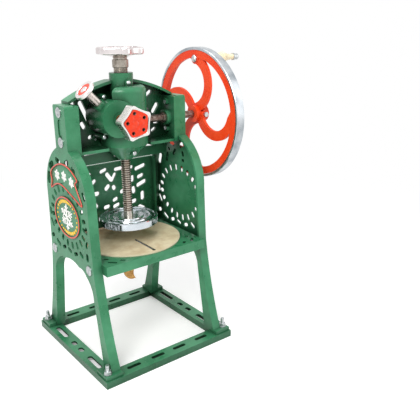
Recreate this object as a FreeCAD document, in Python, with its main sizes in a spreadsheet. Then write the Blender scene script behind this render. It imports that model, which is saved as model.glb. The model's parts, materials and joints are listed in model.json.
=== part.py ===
import FreeCAD, Part
import math
import os
from types import SimpleNamespace

import Sketcher

# Hand cranked block ice shaver, in millimetres.
# The origin is on the floor under the spindle: +X to the crank wheel, +Y to the back, +Z up.

Vector = FreeCAD.Vector
Rotation = FreeCAD.Rotation
Placement = FreeCAD.Placement

UP = Vector(0, 0, 1)
SMALL_ANGLE = 1e-9
FLAT_EDGE = 1e-4
SLOTS_PER_SKETCH = 4

# ---------------------------------------------------------------------------------------------
# Driving sizes
# ---------------------------------------------------------------------------------------------

DRIVING_SIZES = {
    # base of four channel castings
    "base_width": 324.5,
    "base_depth": 323.5,
    "base_height": 15.2,
    "base_wall": 4.0,
    "rail_width": 33.0,
    "bar_width": 34.0,
    "bar_slot_length": 33.0,
    "bar_slot_width": 9.0,
    "bar_slot_inner": 28.0,
    "bar_slot_outer": 88.0,
    "bar_slot_inset": 19.0,
    "rail_slot_length": 54.0,
    "rail_slot_width": 11.0,
    "rail_slot_outer": 79.0,
    "rail_slot_inset": 16.5,
    "rail_hole_length": 18.0,
    "rail_hole_offset": 17.0,
    "tongue_width": 22.0,
    "tongue_thickness": 3.0,
    "tongue_play": 0.2,
    # side frames
    "frame_inset": 40.25,
    "frame_flange": 20.0,
    "frame_web": 3.5,
    "frame_rim": 6.0,
    "foot_thickness": 8.0,
    "foot_length": 42.0,
    "foot_end_inset": 3.75,
    "foot_reach_inset": 2.25,
    "foot_bolt_inset": 11.75,
    "foot_bolt_end_inset": 16.75,
    "leg_width": 36.0,
    "leg_inset": 11.75,
    "leg_curve": 1000.0,
    "arch_knee": 90.0,
    "arch_knee_drop": 73.0,
    "arch_side": 64.0,
    "arch_side_drop": 32.0,
    "arch_cusp": 34.0,
    "arch_cusp_drop": 22.0,
    "arch_knee_radius": 48.0,
    "arch_side_radius": 30.0,
    "arch_top_radius": 90.0,
    "waist": 97.0,
    "waist_drop": 6.0,
    "hip": 92.0,
    "hip_rise": 112.0,
    "shoulder_radius": 110.0,
    "shoulder_drop": 39.0,
    "post_half": 26.0,
    "post_rise": 48.0,
    "post_corner": 6.0,
    "post_recess": 2.0,
    "post_bolt_drop": 25.0,
    "post_bolt_rise": 34.0,
    "post_boss": 11.0,
    # side frame ornament
    "medal_over_table": 79.0,
    "medal_half_width": 56.0,
    "medal_half_height": 43.0,
    "medal_rise": 2.5,
    "ray_gap": 8.5,
    "ray_length": 16.0,
    "ray_width": 9.5,
    # table and blade disc
    "table_height": 238.0,
    "table_plate": 5.0,
    "table_skirt": 20.5,
    "table_wall": 5.0,
    "table_front": 116.0,
    "table_back": 116.0,
    "table_bolt_y": 80.0,
    "table_bolt_drop": 13.0,
    "table_boss": 9.0,
    "table_slot_radius": 128.0,
    "chute_radius": 88.0,
    "disc_radius": 112.4,
    "disc_thickness": 4.0,
    "disc_proud": 2.0,
    "disc_gap": 0.1,
    "blade_inner": 23.0,
    "blade_outer": 100.0,
    "blade_thickness": 3.0,
    "blade_height": 11.0,
    "blade_proud": 0.8,
    "blade_slot": 6.0,
    "clamp_width": 15.0,
    "clamp_thickness": 6.0,
    "adjuster_x": -53.0,
    "adjuster_y": -92.0,
    "adjuster_radius": 4.0,
    "adjuster_boss": 9.0,
    "adjuster_drop": 31.5,
    # back panel
    "panel_front": 83.0,
    "panel_thickness": 5.0,
    "panel_rise": 156.0,
    "panel_flange": 10.0,
    "panel_flange_depth": 17.0,
    "panel_foot": 5.0,
    "panel_foot_front": 70.0,
    "panel_arch": 80.0,
    "panel_lift": 5.0,
    "panel_bolt_inset": 16.0,
    # head casting
    "head_web_front": 22.0,
    "head_web": 6.0,
    "head_cheek": 10.0,
    "head_drop": 85.0,
    "head_spring_rise": 53.0,
    "head_crown_rise": 88.0,
    "head_arch_radius": 320.0,
    "head_flange": 6.0,
    "head_flange_front": 4.0,
    "shelf_drop": 45.0,
    "shelf_thickness": 6.0,
    "shelf_front": 24.0,
    "boss_radius": 24.5,
    "boss_start_rise": 55.0,
    "boss_rise": 102.0,
    "lower_boss_radius": 17.0,
    "lower_boss_drop": 68.0,
    "lower_boss_top_drop": 52.0,
    "gear_well": 43.0,
    "bearing_radius": 17.0,
    "bearing_inset": 21.0,
    # gear hood and rear cover
    "hood_radius": 50.0,
    "hood_wall": 4.0,
    "hood_rise": 77.0,
    "hood_corner": 12.0,
    "hood_skirt_drop": 45.0,
    "hood_tip_radius": 15.5,
    "hood_tip_drop": 77.0,
    "hood_gap": 0.3,
    "hood_lug": 7.0,
    "hood_seat": 22.5,
    "hood_opening": 20.0,
    "hood_front_band": 30.0,
    "cover_flange": 12.0,
    "cover_flange_thickness": 4.0,
    # crank drive
    "crank_height": 497.0,
    "shaft_radius": 8.0,
    "bush_wall": 3.5,
    "bush_flange": 2.0,
    "bush_flange_rise": 3.0,
    "running_gap": 0.05,
    "pinion_pitch": 20.0,
    "crown_pitch": 36.0,
    "crown_inner": 25.0,
    "gear_addendum": 2.4,
    "gear_dedendum": 3.4,
    "crown_hub": 15.0,
    "crown_floor_drop": 35.0,
    # crank wheel
    "wheel_gap": 48.0,
    "wheel_radius": 147.0,
    "wheel_paint": 140.0,
    "wheel_inner": 124.0,
    "wheel_width": 20.0,
    "wheel_lip": 1.5,
    "rim_web": 7.0,
    "rim_depth": 14.0,
    "spoke_inset": 0.6,
    "spoke_thickness": 6.0,
    "spoke_outer": 67.7,
    "spoke_inner": 45.7,
    "spoke_side": 13.7,
    "spoke_rise": 67.5,
    "hub_radius": 19.0,
    "hub_lead": 9.0,
    "hub_reach": 25.0,
    "grip_offset": 122.0,
    "grip_boss": 12.0,
    "grip_gap": 23.0,
    "grip_reach": 110.0,
    "grip_radius": 13.5,
    "grip_pin": 5.0,
    "grip_tip_reach": 128.0,
    # spindle group
    "thread_radius": 10.5,
    "thread_root": 8.6,
    "thread_pitch": 5.0,
    "thread_gap": 11.0,
    "thread_rise": 111.0,
    "keyway_width": 4.0,
    "keyway_floor": 7.6,
    "chuck_radius": 64.5,
    "chuck_height": 15.5,
    "chuck_lift": 53.5,
    "chuck_plate": 6.0,
    "chuck_wall": 5.0,
    "spike_length": 18.0,
    "spike_radius": 2.6,
    "spike_ring": 47.0,
    "collar_radius": 14.5,
    "collar_height": 9.5,
    "stop_gap": 0.3,
    "upper_collar_radius": 16.5,
    "upper_collar_height": 19.0,
    "handwheel_radius": 46.2,
    "handwheel_height": 14.0,
    "handwheel_recess": 3.0,
    "handwheel_neck": 7.0,
    "handwheel_neck_radius": 31.0,
    "handwheel_round": 3.5,
    # feed drive
    "feed_x": -38.0,
    "feed_rise": 16.0,
    "feed_pitch": 21.0,
    "feed_addendum": 1.6,
    "feed_dedendum": 1.9,
    "feed_hub": 15.0,
    "feed_half": 10.0,
    "worm_addendum": 1.6,
    "worm_dedendum": 2.0,
    "worm_half": 10.0,
    "feed_shaft": 6.0,
    "brake_radius": 20.0,
    "brake_width": 12.0,
    "drum_radius": 37.0,
    "drum_wall": 4.0,
    "drum_front": -52.0,
    "drum_ring": 13.0,
    "ear_radius": 6.0,
    "ear_distance": 42.0,
    "ear_front": -12.0,
    "star_radius": 32.0,
    "star_face": -118.0,
    "star_depth": 22.0,
    "star_recess": 3.0,
    # spring plunger
    "plunger_y": -27.0,
    "sleeve_radius": 8.0,
    "sleeve_end": 76.0,
    "plunger_gap": 2.0,
    "plunger_head": 9.0,
    "plunger_head_radius": 21.5,
    "plunger_pin": 3.0,
    "plunger_chamber": 6.5,
    "plunger_collar": 3.0,
    "spring_wire": 1.0,
    "knob_groove": 1.2,
    # fasteners
    "bolt_radius": 4.0,
    "bolt_play": 0.2,
    "bolt_head": 8.0,
    "bolt_head_height": 5.0,
    "frame_bolt_head": 10.3,
    "foot_bolt_rise": 6.0,
    "nut_radius": 7.5,
    "nut_height": 6.5,
    "washer_radius": 8.3,
    "washer_thickness": 1.6,
    "screw_radius": 2.5,
    "screw_head": 4.5,
    "screw_head_height": 3.0,
}

# Counts of things that repeat
RAY_COUNT = 20
PINION_TEETH = 10
CROWN_TEETH = 18
FEED_TEETH = 33
SPOKE_COUNT = 4
SPIKE_COUNT = 8
STAR_CORNERS = 5
HANDWHEEL_LOBES = 6
SPRING_TURNS = 7

# Where the first corner of the star knob and of the handwheel points, in degrees
STAR_START = 102
HANDWHEEL_START = 15
# The drum's two ears, and the crank wheel's spokes on their own circle, in degrees
EAR_ANGLES = (104, 250)
SPOKE_HUB_ANGLE = 258.0
SPOKE_INNER_END = 105.0
SPOKE_OUTER_END = 118.5
SPOKE_RIM_ANGLE = 81.0


# ---------------------------------------------------------------------------------------------
# Sizes that carry their own sheet expression
# ---------------------------------------------------------------------------------------------

class Size:
    """A number of millimetres and the sheet expression that gives it."""

    def __init__(self, value, text):
        self.value = float(value)
        self.text = text

    def __float__(self):
        return self.value

    def __add__(self, other):
        return Size(self.value + float(other), f"({self.text} + {written(other)})")

    def __radd__(self, other):
        return Size(float(other) + self.value, f"({written(other)} + {self.text})")

    def __sub__(self, other):
        return Size(self.value - float(other), f"({self.text} - {written(other)})")

    def __rsub__(self, other):
        return Size(float(other) - self.value, f"({written(other)} - {self.text})")

    def __mul__(self, other):
        return Size(self.value * float(other), f"({self.text} * {written(other)})")

    __rmul__ = __mul__

    def __truediv__(self, other):
        return Size(self.value / float(other), f"({self.text} / {written(other)})")

    def __neg__(self):
        return self * -1


def written(quantity):
    """The expression text of a Size or of a plain number."""
    if isinstance(quantity, Size):
        return quantity.text
    return f"{float(quantity):.6f}"


def plain(number):
    """A fixed ornament size as a Size."""
    return Size(number, written(number))


def root_of(square):
    """The square root of a Size."""
    return Size(math.sqrt(float(square)), f"sqrt({written(square)})")


def turned_by(u, v, degrees):
    """The point (u, v) turned about the origin."""
    cosine = math.cos(math.radians(degrees))
    sine = math.sin(math.radians(degrees))
    return u * cosine - v * sine, u * sine + v * cosine


doc = FreeCAD.newDocument("IceShaver")
sheet = doc.addObject("Spreadsheet::Sheet", "Sizes")
s = SimpleNamespace()
for row, (alias, millimetres) in enumerate(DRIVING_SIZES.items(), start=1):
    sheet.set(f"A{row}", alias)
    sheet.set(f"B{row}", str(millimetres))
    sheet.setAlias(f"B{row}", alias)
    setattr(s, alias, Size(millimetres, f"Sizes.{alias}"))
doc.recompute()

# Places that several pieces share: first what keeps with the base, the table and the crank
s.frame_inner = s.base_width / 2 - s.frame_inset
s.frame_outer = s.frame_inner + s.frame_flange
s.foot_reach = s.base_width / 2 - s.foot_reach_inset
s.foot_bolt_x = s.base_width / 2 - s.foot_bolt_inset
s.foot_bolt_y = s.base_depth / 2 - s.foot_bolt_end_inset
s.foot_outer = s.base_depth / 2 - s.foot_end_inset
s.foot_inner = s.foot_outer - s.foot_length
s.leg_outer = s.base_depth / 2 - s.leg_inset
s.leg_inner = s.leg_outer - s.leg_width
s.panel_bolt_x = s.frame_inner - s.panel_bolt_inset
s.bearing_face = s.frame_inner - s.bearing_inset
s.wheel_face = s.frame_outer + s.wheel_gap
s.hub_front = s.wheel_face - s.hub_lead
s.hub_back = s.wheel_face + s.hub_reach
s.grip_start = s.wheel_face + s.grip_gap
s.grip_end = s.wheel_face + s.grip_reach
s.grip_tip = s.wheel_face + s.grip_tip_reach
s.arch_knee_height = s.table_height - s.arch_knee_drop
s.arch_side_height = s.table_height - s.arch_side_drop
s.arch_cusp_height = s.table_height - s.arch_cusp_drop
s.waist_height = s.table_height - s.waist_drop
s.hip_height = s.table_height + s.hip_rise
s.medal_height = s.table_height + s.medal_over_table
s.panel_top = s.table_height + s.panel_rise
s.chuck_top = s.table_height + s.chuck_lift
s.thread_start = s.chuck_top + s.thread_gap
s.shoulder_height = s.crank_height - s.shoulder_drop
s.post_top = s.crank_height + s.post_rise
s.post_bolt_low = s.crank_height - s.post_bolt_drop
s.post_bolt_high = s.crank_height + s.post_bolt_rise
s.head_bottom = s.crank_height - s.head_drop
s.head_spring = s.crank_height + s.head_spring_rise
s.head_crown = s.crank_height + s.head_crown_rise
s.shelf_height = s.crank_height - s.shelf_drop
s.boss_bottom = s.crank_height + s.boss_start_rise
s.boss_top = s.crank_height + s.boss_rise
s.lower_boss_bottom = s.crank_height - s.lower_boss_drop
s.lower_boss_top = s.crank_height - s.lower_boss_top_drop
s.hood_top = s.crank_height + s.hood_rise
s.cover_top = s.hood_top - s.cover_flange * 2
s.hood_skirt = s.crank_height - s.hood_skirt_drop
s.hood_tip = s.crank_height - s.hood_tip_drop
s.crown_floor = s.crank_height - s.crown_floor_drop
s.feed_height = s.crank_height + s.feed_rise
s.thread_end = s.crank_height + s.thread_rise
# then what follows from those
s.rail_inner = s.base_width / 2 - s.rail_width
s.tongue_top = s.base_height - s.base_wall
s.foot_top = s.base_height + s.foot_thickness
s.table_bolt_height = s.table_height - s.table_bolt_drop
s.disc_top = s.table_height + s.disc_proud
s.disc_seat = s.disc_top - s.disc_thickness
s.table_underside = s.table_height - s.table_plate
s.skirt_bottom = s.table_height - s.table_skirt
s.web_back = s.head_web_front + s.head_web
s.cheek_face = s.frame_inner - s.head_cheek
s.hole_radius = s.bolt_radius + s.bolt_play
s.screw_hole = s.screw_radius + s.bolt_play / 2
s.bush_radius = s.shaft_radius + s.bush_wall
s.spindle_bore = s.thread_radius + s.running_gap
s.spindle_bush = s.thread_radius + s.bush_wall
s.worm_pitch = -s.feed_x - s.feed_pitch
s.feed_low = s.feed_height - s.feed_half
s.feed_high = s.feed_height + s.feed_half
s.drum_back = s.head_web_front - s.running_gap
s.plunger_start = s.brake_radius + s.stop_gap
s.plunger_knob = s.sleeve_end + s.plunger_gap
s.collar_bottom = s.boss_top + s.stop_gap
s.upper_collar_bottom = s.collar_bottom + s.collar_height
s.handwheel_bottom = s.upper_collar_bottom + s.upper_collar_height
s.handwheel_plate = s.handwheel_bottom + s.handwheel_neck

nodes = {}


# ---------------------------------------------------------------------------------------------
# Drawing helpers
# ---------------------------------------------------------------------------------------------

def bind(target, path, quantity):
    """Give a property its value, held by the sheet where the quantity is a Size."""
    if isinstance(quantity, Size):
        target.setExpression(path, quantity.text)
    elif "." in path:
        target.setExpression(path, written(quantity))
    else:
        setattr(target, path, quantity)


class Drawing:
    """Lines and arcs of one sketch, with every point held by the sheet."""

    def __init__(self, sketch):
        self.sketch = sketch
        self.constraints = []
        self.bound = []

    def hold(self, kind, *parts):
        """Add a constraint, and remember its expression where its last part is a Size."""
        quantity = parts[-1]
        if kind in ("DistanceX", "DistanceY", "Radius"):
            self.bound.append((len(self.constraints), quantity))
            parts = parts[:-1] + (float(quantity),)
        self.constraints.append(Sketcher.Constraint(kind, *parts))

    def pin(self, index, position, u, v):
        """Hold one point of one line or arc at (u, v)."""
        self.hold("DistanceX", -1, 1, index, position, u)
        self.hold("DistanceY", -1, 1, index, position, v)

    def outline(self, *corners):
        """A closed outline. A corner's third number is the radius of the arc that leaves it,
        positive where the arc's centre lies to the left of the way."""
        ends = []
        for corner, following in zip(corners, corners[1:] + corners[:1]):
            start = Vector(float(corner[0]), float(corner[1]), 0)
            stop = Vector(float(following[0]), float(following[1]), 0)
            if len(corner) == 2:
                index = self.sketch.addGeometry(Part.LineSegment(start, stop))
                ends.append((index, 1, 2))
            else:
                index = self.sketch.addGeometry(arc_between(start, stop, float(corner[2])))
                forward = float(corner[2]) > 0
                ends.append((index, 1, 2) if forward else (index, 2, 1))
                radius = corner[2] if forward else -1 * corner[2]
                self.hold("Radius", index, radius)
        for place, (index, first, last) in enumerate(ends):
            self.pin(index, first, corners[place][0], corners[place][1])
            following = ends[(place + 1) % len(ends)]
            self.hold("Coincident", index, last, following[0], following[1])

    def rectangle(self, left, low, right, high):
        """An upright rectangle between two corners."""
        self.outline((left, low), (right, low), (right, high), (left, high))

    def circle(self, u, v, radius):
        """A full circle."""
        centre = Vector(float(u), float(v), 0)
        index = self.sketch.addGeometry(Part.Circle(centre, UP, float(radius)))
        self.pin(index, 3, u, v)
        self.hold("Radius", index, radius)

    def slot(self, u, v, length, width, degrees=0.0):
        """A slot with round ends, centred on (u, v)."""
        reach = (length - width) / 2
        radius = width / 2
        along = Vector(*map(float, turned_by(1.0, 0.0, degrees)), 0)
        across = Vector(-along.y, along.x, 0)
        far = (u + reach * along.x, v + reach * along.y)
        near = (u - reach * along.x, v - reach * along.y)
        far_point = Vector(float(far[0]), float(far[1]), 0)
        near_point = Vector(float(near[0]), float(near[1]), 0)
        side = across * float(radius)
        turn = math.radians(degrees)
        quarter = math.pi / 2
        far_circle = Part.Circle(far_point, UP, float(radius))
        near_circle = Part.Circle(near_point, UP, float(radius))
        add = self.sketch.addGeometry
        bottom = add(Part.LineSegment(near_point - side, far_point - side))
        end = add(Part.ArcOfCircle(far_circle, turn - quarter, turn + quarter))
        top = add(Part.LineSegment(far_point + side, near_point + side))
        start = add(Part.ArcOfCircle(near_circle, turn + quarter, turn + 3 * quarter))
        for one, other in ((bottom, end), (end, top), (top, start), (start, bottom)):
            self.hold("Tangent", one, 2, other, 1)
        for index, centre in ((end, far), (start, near)):
            self.pin(index, 3, *centre)
            self.hold("Radius", index, radius)

    def finish(self):
        """Hand all constraints to the sketch at once and bind them to the sheet."""
        self.sketch.addConstraint(self.constraints)
        for index, quantity in self.bound:
            if isinstance(quantity, Size):
                self.sketch.setExpression(f"Constraints[{index}]", quantity.text)
        return self.sketch


def arc_between(start, stop, radius):
    """The minor arc from start to stop. A negative radius has its centre to the right."""
    chord = stop - start
    left = Vector(-chord.y, chord.x, 0).normalize()
    side = 1 if radius > 0 else -1
    rise = math.sqrt(max(radius * radius - chord.Length ** 2 / 4, 0.0))
    centre = (start + stop) * 0.5 + left * (side * rise)
    first, last = (start, stop) if side > 0 else (stop, start)
    begin = math.atan2(first.y - centre.y, first.x - centre.x)
    end = math.atan2(last.y - centre.y, last.x - centre.x)
    if end < begin + SMALL_ANGLE:
        end += 2 * math.pi
    return Part.ArcOfCircle(Part.Circle(centre, UP, abs(radius)), begin, end)


def new_body(name):
    """An empty body that will be one sub-part."""
    body = doc.addObject("PartDesign::Body", name)
    body.Label = name
    nodes[name] = body
    return body


def sketch_in(body, plane, level, centre=(0, 0)):
    """A sketch on one origin plane of a body, moved to a level along that plane's axis.
    XY sees X and Y, XZ sees X and Z, YZ sees Y and Z. Centre moves the sketch's own zero."""
    role = plane + "_Plane"
    support = [item for item in body.Origin.OriginFeatures if item.Role == role][0]
    sketch = body.newObject("Sketcher::SketchObject", f"{body.Name}_{plane}")
    sketch.AttachmentSupport = [(support, "")]
    sketch.MapMode = "FlatFace"
    offset = -level if plane == "XZ" else level
    bind(sketch, "AttachmentOffset.Base.x", centre[0])
    bind(sketch, "AttachmentOffset.Base.y", centre[1])
    bind(sketch, "AttachmentOffset.Base.z", offset)
    return Drawing(sketch)


def pad(body, drawing, plane, thickness):
    """Pad a finished drawing towards the plane's positive axis."""
    feature = body.newObject("PartDesign::Pad", f"{body.Name}_pad")
    feature.Profile = drawing.finish()
    feature.Reversed = plane == "XZ"
    bind(feature, "Length", thickness)
    body.Tip = feature
    return feature


def pocket(body, drawing, plane, depth):
    """Pocket a finished drawing towards the plane's positive axis."""
    feature = body.newObject("PartDesign::Pocket", f"{body.Name}_pocket")
    feature.Profile = drawing.finish()
    feature.Reversed = plane != "XZ"
    bind(feature, "Length", depth)
    body.Tip = feature
    return feature


def add_circle(body, plane, low, high, u, v, radius):
    """Pad one disc between two levels."""
    drawing = sketch_in(body, plane, low)
    drawing.circle(u, v, radius)
    return pad(body, drawing, plane, high - low)


def cut_circle(body, plane, low, high, u, v, radius):
    """Pocket one round hole between two levels."""
    drawing = sketch_in(body, plane, low)
    drawing.circle(u, v, radius)
    return pocket(body, drawing, plane, high - low)


def add_box(body, plane, low, high, corners):
    """Pad one rectangle (left, low, right, high) between two levels."""
    drawing = sketch_in(body, plane, low)
    drawing.rectangle(*corners)
    return pad(body, drawing, plane, high - low)


def cut_box(body, plane, low, high, corners):
    """Pocket one rectangle (left, low, right, high) between two levels."""
    drawing = sketch_in(body, plane, low)
    drawing.rectangle(*corners)
    return pocket(body, drawing, plane, high - low)


def cut_slots(body, plane, low, depth, slots):
    """Pocket many slots, a few to a sketch so that each one solves fast."""
    for first in range(0, len(slots), SLOTS_PER_SKETCH):
        drawing = sketch_in(body, plane, low)
        for slot in slots[first:first + SLOTS_PER_SKETCH]:
            drawing.slot(*slot)
        pocket(body, drawing, plane, depth)


AXIS_TURNS = {
    "X": (Vector(0, 1, 0), 90),
    "Y": (Vector(1, 0, 0), -90),
    "Z": (Vector(0, 0, 1), 0),
    "down": (Vector(1, 0, 0), 180),
}


def place(target, x=0, y=0, z=0, along="Z"):
    """Stand a piece that was made along its own Z at a place, along a chosen axis."""
    target.Placement = Placement(Vector(), Rotation(*AXIS_TURNS[along]))
    for path, quantity in (("x", x), ("y", y), ("z", z)):
        bind(target, f"Placement.Base.{path}", quantity)


def revolve(body, *profile):
    """Turn a profile of (radius, height) corners about the body's own Z."""
    drawing = sketch_in(body, "XZ", 0 * s.base_wall)
    drawing.outline(*profile)
    feature = body.newObject("PartDesign::Revolution", f"{body.Name}_turn")
    feature.Profile = drawing.finish()
    feature.ReferenceAxis = (feature.Profile[0], ["V_Axis"])
    feature.Angle = 360
    body.Tip = feature
    return feature


def turned_piece(name, profile, x=0, y=0, z=0, along="Z"):
    """A sub-part that is turned on a lathe. Heights are real places along its axis."""
    body = new_body(name)
    revolve(body, *profile)
    place(body, x, y, z, along)
    return body


def ring_profile(inner, outer, low, high):
    """The section of a plain ring."""
    return ((inner, low), (outer, low), (outer, high), (inner, high))


def part_node(name, shape):
    """A sub-part whose shape is worked out below with Part's own functions."""
    feature = doc.addObject("Part::Feature", name)
    feature.Label = name
    feature.Shape = shape
    nodes[name] = feature
    return feature


# ---------------------------------------------------------------------------------------------
# Fasteners
# ---------------------------------------------------------------------------------------------

def hexagon(radius, height):
    """A hexagonal prism on the XY plane."""
    corners = [Vector(*turned_by(radius, 0, 60 * step), 0) for step in range(6)]
    return Part.Face(Part.makePolygon(corners + corners[:1])).extrude(Vector(0, 0, height))


def dome(radius, height):
    """A round bolt head: a low dome over a short cylinder, on the XY plane."""
    edge = height * 0.35
    rise = height - edge
    ball = (radius ** 2 + rise ** 2) / (2 * rise)
    sphere = Part.makeSphere(ball, Vector(0, 0, height - ball))
    return sphere.common(Part.makeCylinder(radius, height))


def screw(shank, length, head, head_height, hexagonal=False):
    """A bolt whose head stands on the XY plane and whose shank runs down along -Z."""
    top = hexagon(head, head_height) if hexagonal else dome(head, head_height)
    return top.fuse(Part.makeCylinder(shank, length, Vector(), Vector(0, 0, -1)))


def nut(radius, height, bore):
    """A hexagonal nut on the XY plane."""
    return hexagon(radius, height).cut(Part.makeCylinder(bore, height))


def group(name, shape, spots, direction):
    """Separate copies of one fastener as one node. Its own +Z points along the direction."""
    copies = []
    for spot in spots:
        towards = direction(spot) if callable(direction) else direction
        placed = shape.copy()
        where = Vector(*(float(part) for part in spot))
        placed.Placement = Placement(where, Rotation(UP, towards))
        copies.append(placed)
    return part_node(name, Part.makeCompound(copies))


def outwards(spot):
    """The X direction that points away from the middle."""
    return Vector(math.copysign(1, float(spot[0])), 0, 0)


def inwards(spot):
    """The X direction that points to the middle."""
    return Vector(-math.copysign(1, float(spot[0])), 0, 0)


# ---------------------------------------------------------------------------------------------
# Base
# ---------------------------------------------------------------------------------------------

def base_rail(name, side):
    """A side rail: a channel open below, slotted, with windows for the bars' tongues."""
    body = new_body(name)
    outer = s.base_width / 2 * side
    inner = s.rail_inner * side
    half = s.base_depth / 2
    wall = s.base_wall
    add_box(body, "XY", 0 * wall, s.base_height, (inner, -half, outer, half))
    channel = (inner + wall * side, -half + wall, outer - wall * side, half - wall)
    cut_box(body, "XY", 0 * wall, s.tongue_top, channel)
    middle = outer - s.rail_slot_inset * side
    slots = []
    holes = sketch_in(body, "XY", 0 * wall)
    for end in (-1, 1):
        width = s.rail_slot_width
        slots.append((middle, s.rail_slot_outer * end, s.rail_slot_length, width, 90))
        slots.append((middle, s.rail_hole_offset * end, s.rail_hole_length, width, 90))
        holes.circle(s.foot_bolt_x * side, s.foot_bolt_y * end, s.hole_radius)
    pocket(body, holes, "XY", s.base_height)
    cut_slots(body, "XY", 0 * wall, s.base_height, slots)
    windows = sketch_in(body, "XY", s.tongue_top - s.tongue_thickness - s.tongue_play)
    reach = s.tongue_width / 2 + s.tongue_play
    for end in (-1, 1):
        bolt = s.foot_bolt_y * end
        windows.rectangle(inner, bolt - reach, inner + wall * side, bolt + reach)
    pocket(body, windows, "XY", s.tongue_thickness + s.tongue_play)


def base_bar(name, side):
    """A front or back bar: a slotted channel with a tongue at each end for the foot bolts."""
    body = new_body(name)
    outer = s.base_depth / 2 * side
    inner = outer - s.bar_width * side
    wall = s.base_wall
    end = s.rail_inner
    add_box(body, "XY", 0 * wall, s.base_height, (-end, inner, end, outer))
    channel = (wall - end, inner + wall * side, end - wall, outer - wall * side)
    cut_box(body, "XY", 0 * wall, s.tongue_top, channel)
    middle = outer - s.bar_slot_inset * side
    slots = []
    for hand in (-1, 1):
        for offset in (s.bar_slot_inner, s.bar_slot_outer):
            slots.append((offset * hand, middle, s.bar_slot_length, s.bar_slot_width))
    cut_slots(body, "XY", 0 * wall, s.base_height, slots)
    tongues = sketch_in(body, "XY", s.tongue_top - s.tongue_thickness)
    reach = s.tongue_width / 2
    bolt = s.foot_bolt_y * side
    for hand in (-1, 1):
        root = (end - wall) * hand
        tip = (s.foot_bolt_x + s.bolt_radius * 1.5) * hand
        tongues.rectangle(root, bolt - reach, tip, bolt + reach)
    pad(body, tongues, "XY", s.tongue_thickness)
    holes = sketch_in(body, "XY", 0 * wall)
    for hand in (-1, 1):
        holes.circle(s.foot_bolt_x * hand, bolt, s.hole_radius)
    pocket(body, holes, "XY", s.base_height)


def foot_fasteners():
    """Bolts up through tongue, rail and foot, with a washer and a nut on each."""
    corners = [(x, y) for x in (-1, 1) for y in (-1, 1)]
    head = float(s.tongue_top - s.tongue_thickness)
    washer = float(s.washer_thickness)
    height = float(s.nut_height)
    length = float(s.foot_top + s.foot_bolt_rise) - head + washer + 2 * height
    bolt = screw(float(s.bolt_radius), length, float(s.nut_radius), float(s.bolt_head_height), True)
    places = [(s.foot_bolt_x * x, s.foot_bolt_y * y) for x, y in corners]
    group("foot_bolts", bolt, [(x, y, head) for x, y in places], Vector(0, 0, -1))
    ring = Part.makeCylinder(float(s.washer_radius), washer)
    ring = ring.cut(Part.makeCylinder(float(s.hole_radius), washer))
    group("foot_washers", ring, [(x, y, s.foot_top) for x, y in places], UP)
    top = float(s.foot_top) + washer
    hexagonal = nut(float(s.nut_radius), height, float(s.bolt_radius))
    group("foot_nuts", hexagonal, [(x, y, top) for x, y in places], UP)


# ---------------------------------------------------------------------------------------------
# Side frames
# ---------------------------------------------------------------------------------------------

# Openings of the tracery, from the middle of the medallion: (back, up, length, width, degrees).
# They are drawn for this half width at the waist and this height up to the shoulders.
SIDE_DRAWN_WAIST = 97.0
SIDE_DRAWN_RISE = 141.0
SIDE_TRACERY = (
    (60, 100, 27, 13, 150), (26, 114, 23, 11, 195), (-14, 116, 22, 12, 150),
    (77, 70, 29, 14, 108), (44, 79, 24, 10, 105), (15, 95, 18, 8, 125),
    (-18, 95, 13, 8, 70), (-43, 107, 18, 10, 28), (-60, 82, 20, 9, 110),
    (-18, 80, 10, 7, 0), (-79, 62, 19, 9, 60), (36, 99, 9, 6, 45),
    (80, -31, 21, 9, 55), (84, -6, 17, 9, 90), (-80, -8, 16, 8, 90), (-78, -38, 17, 9, 118),
    (84, -62, 16, 9, 160), (58, -72, 22, 9, 28), (30, -74, 18, 8, -22), (4, -74, 18, 8, 20),
    (-24, -74, 18, 8, -20), (-50, -68, 18, 9, 30), (-76, -66, 18, 10, 90),
)


def standing_sketch(name, level):
    """A free sketch that sees Y and Z, at a level along X."""
    sketch = doc.addObject("Sketcher::SketchObject", name)
    facing = Rotation(Vector(0, 1, 0), Vector(0, 0, 1), Vector(1, 0, 0))
    sketch.Placement = Placement(Vector(), facing)
    bind(sketch, "Placement.Base.x", level)
    return Drawing(sketch)


def extrude_x(name, profile, thickness):
    """A solid made by drawing a standing profile along +X."""
    solid = doc.addObject("Part::Extrusion", name)
    solid.Base = profile
    solid.DirMode = "Custom"
    solid.Dir = Vector(1, 0, 0)
    solid.Solid = True
    bind(solid, "LengthFwd", thickness)
    return solid


def frame_silhouette():
    """The whole outer shape of a side frame: two legs, a waist, shoulders and the post."""
    drawing = standing_sketch("frame_outline", s.frame_inner)
    floor = s.base_height
    right = [
        (s.leg_inner, floor),
        (s.leg_outer, floor, -s.leg_curve),
        (s.waist, s.waist_height),
        (s.hip, s.hip_height, s.shoulder_radius),
        (s.post_half, s.shoulder_height),
        (s.post_half, s.post_top - s.post_corner, s.post_corner),
        (s.post_half - s.post_corner, s.post_top),
    ]
    left = [
        (s.post_corner - s.post_half, s.post_top, s.post_corner),
        (-s.post_half, s.post_top - s.post_corner),
        (-s.post_half, s.shoulder_height, s.shoulder_radius),
        (-s.hip, s.hip_height),
        (-s.waist, s.waist_height, -s.leg_curve),
        (-s.leg_outer, floor),
        (-s.leg_inner, floor),
    ]
    arch = [
        (-s.arch_knee, s.arch_knee_height, -s.arch_knee_radius),
        (-s.arch_side, s.arch_side_height, -s.arch_side_radius),
        (-s.arch_cusp, s.arch_cusp_height, -s.arch_top_radius),
        (s.arch_cusp, s.arch_cusp_height, -s.arch_side_radius),
        (s.arch_side, s.arch_side_height, -s.arch_knee_radius),
        (s.arch_knee, s.arch_knee_height),
    ]
    drawing.outline(*(right + left + arch))
    return drawing.finish()


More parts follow.
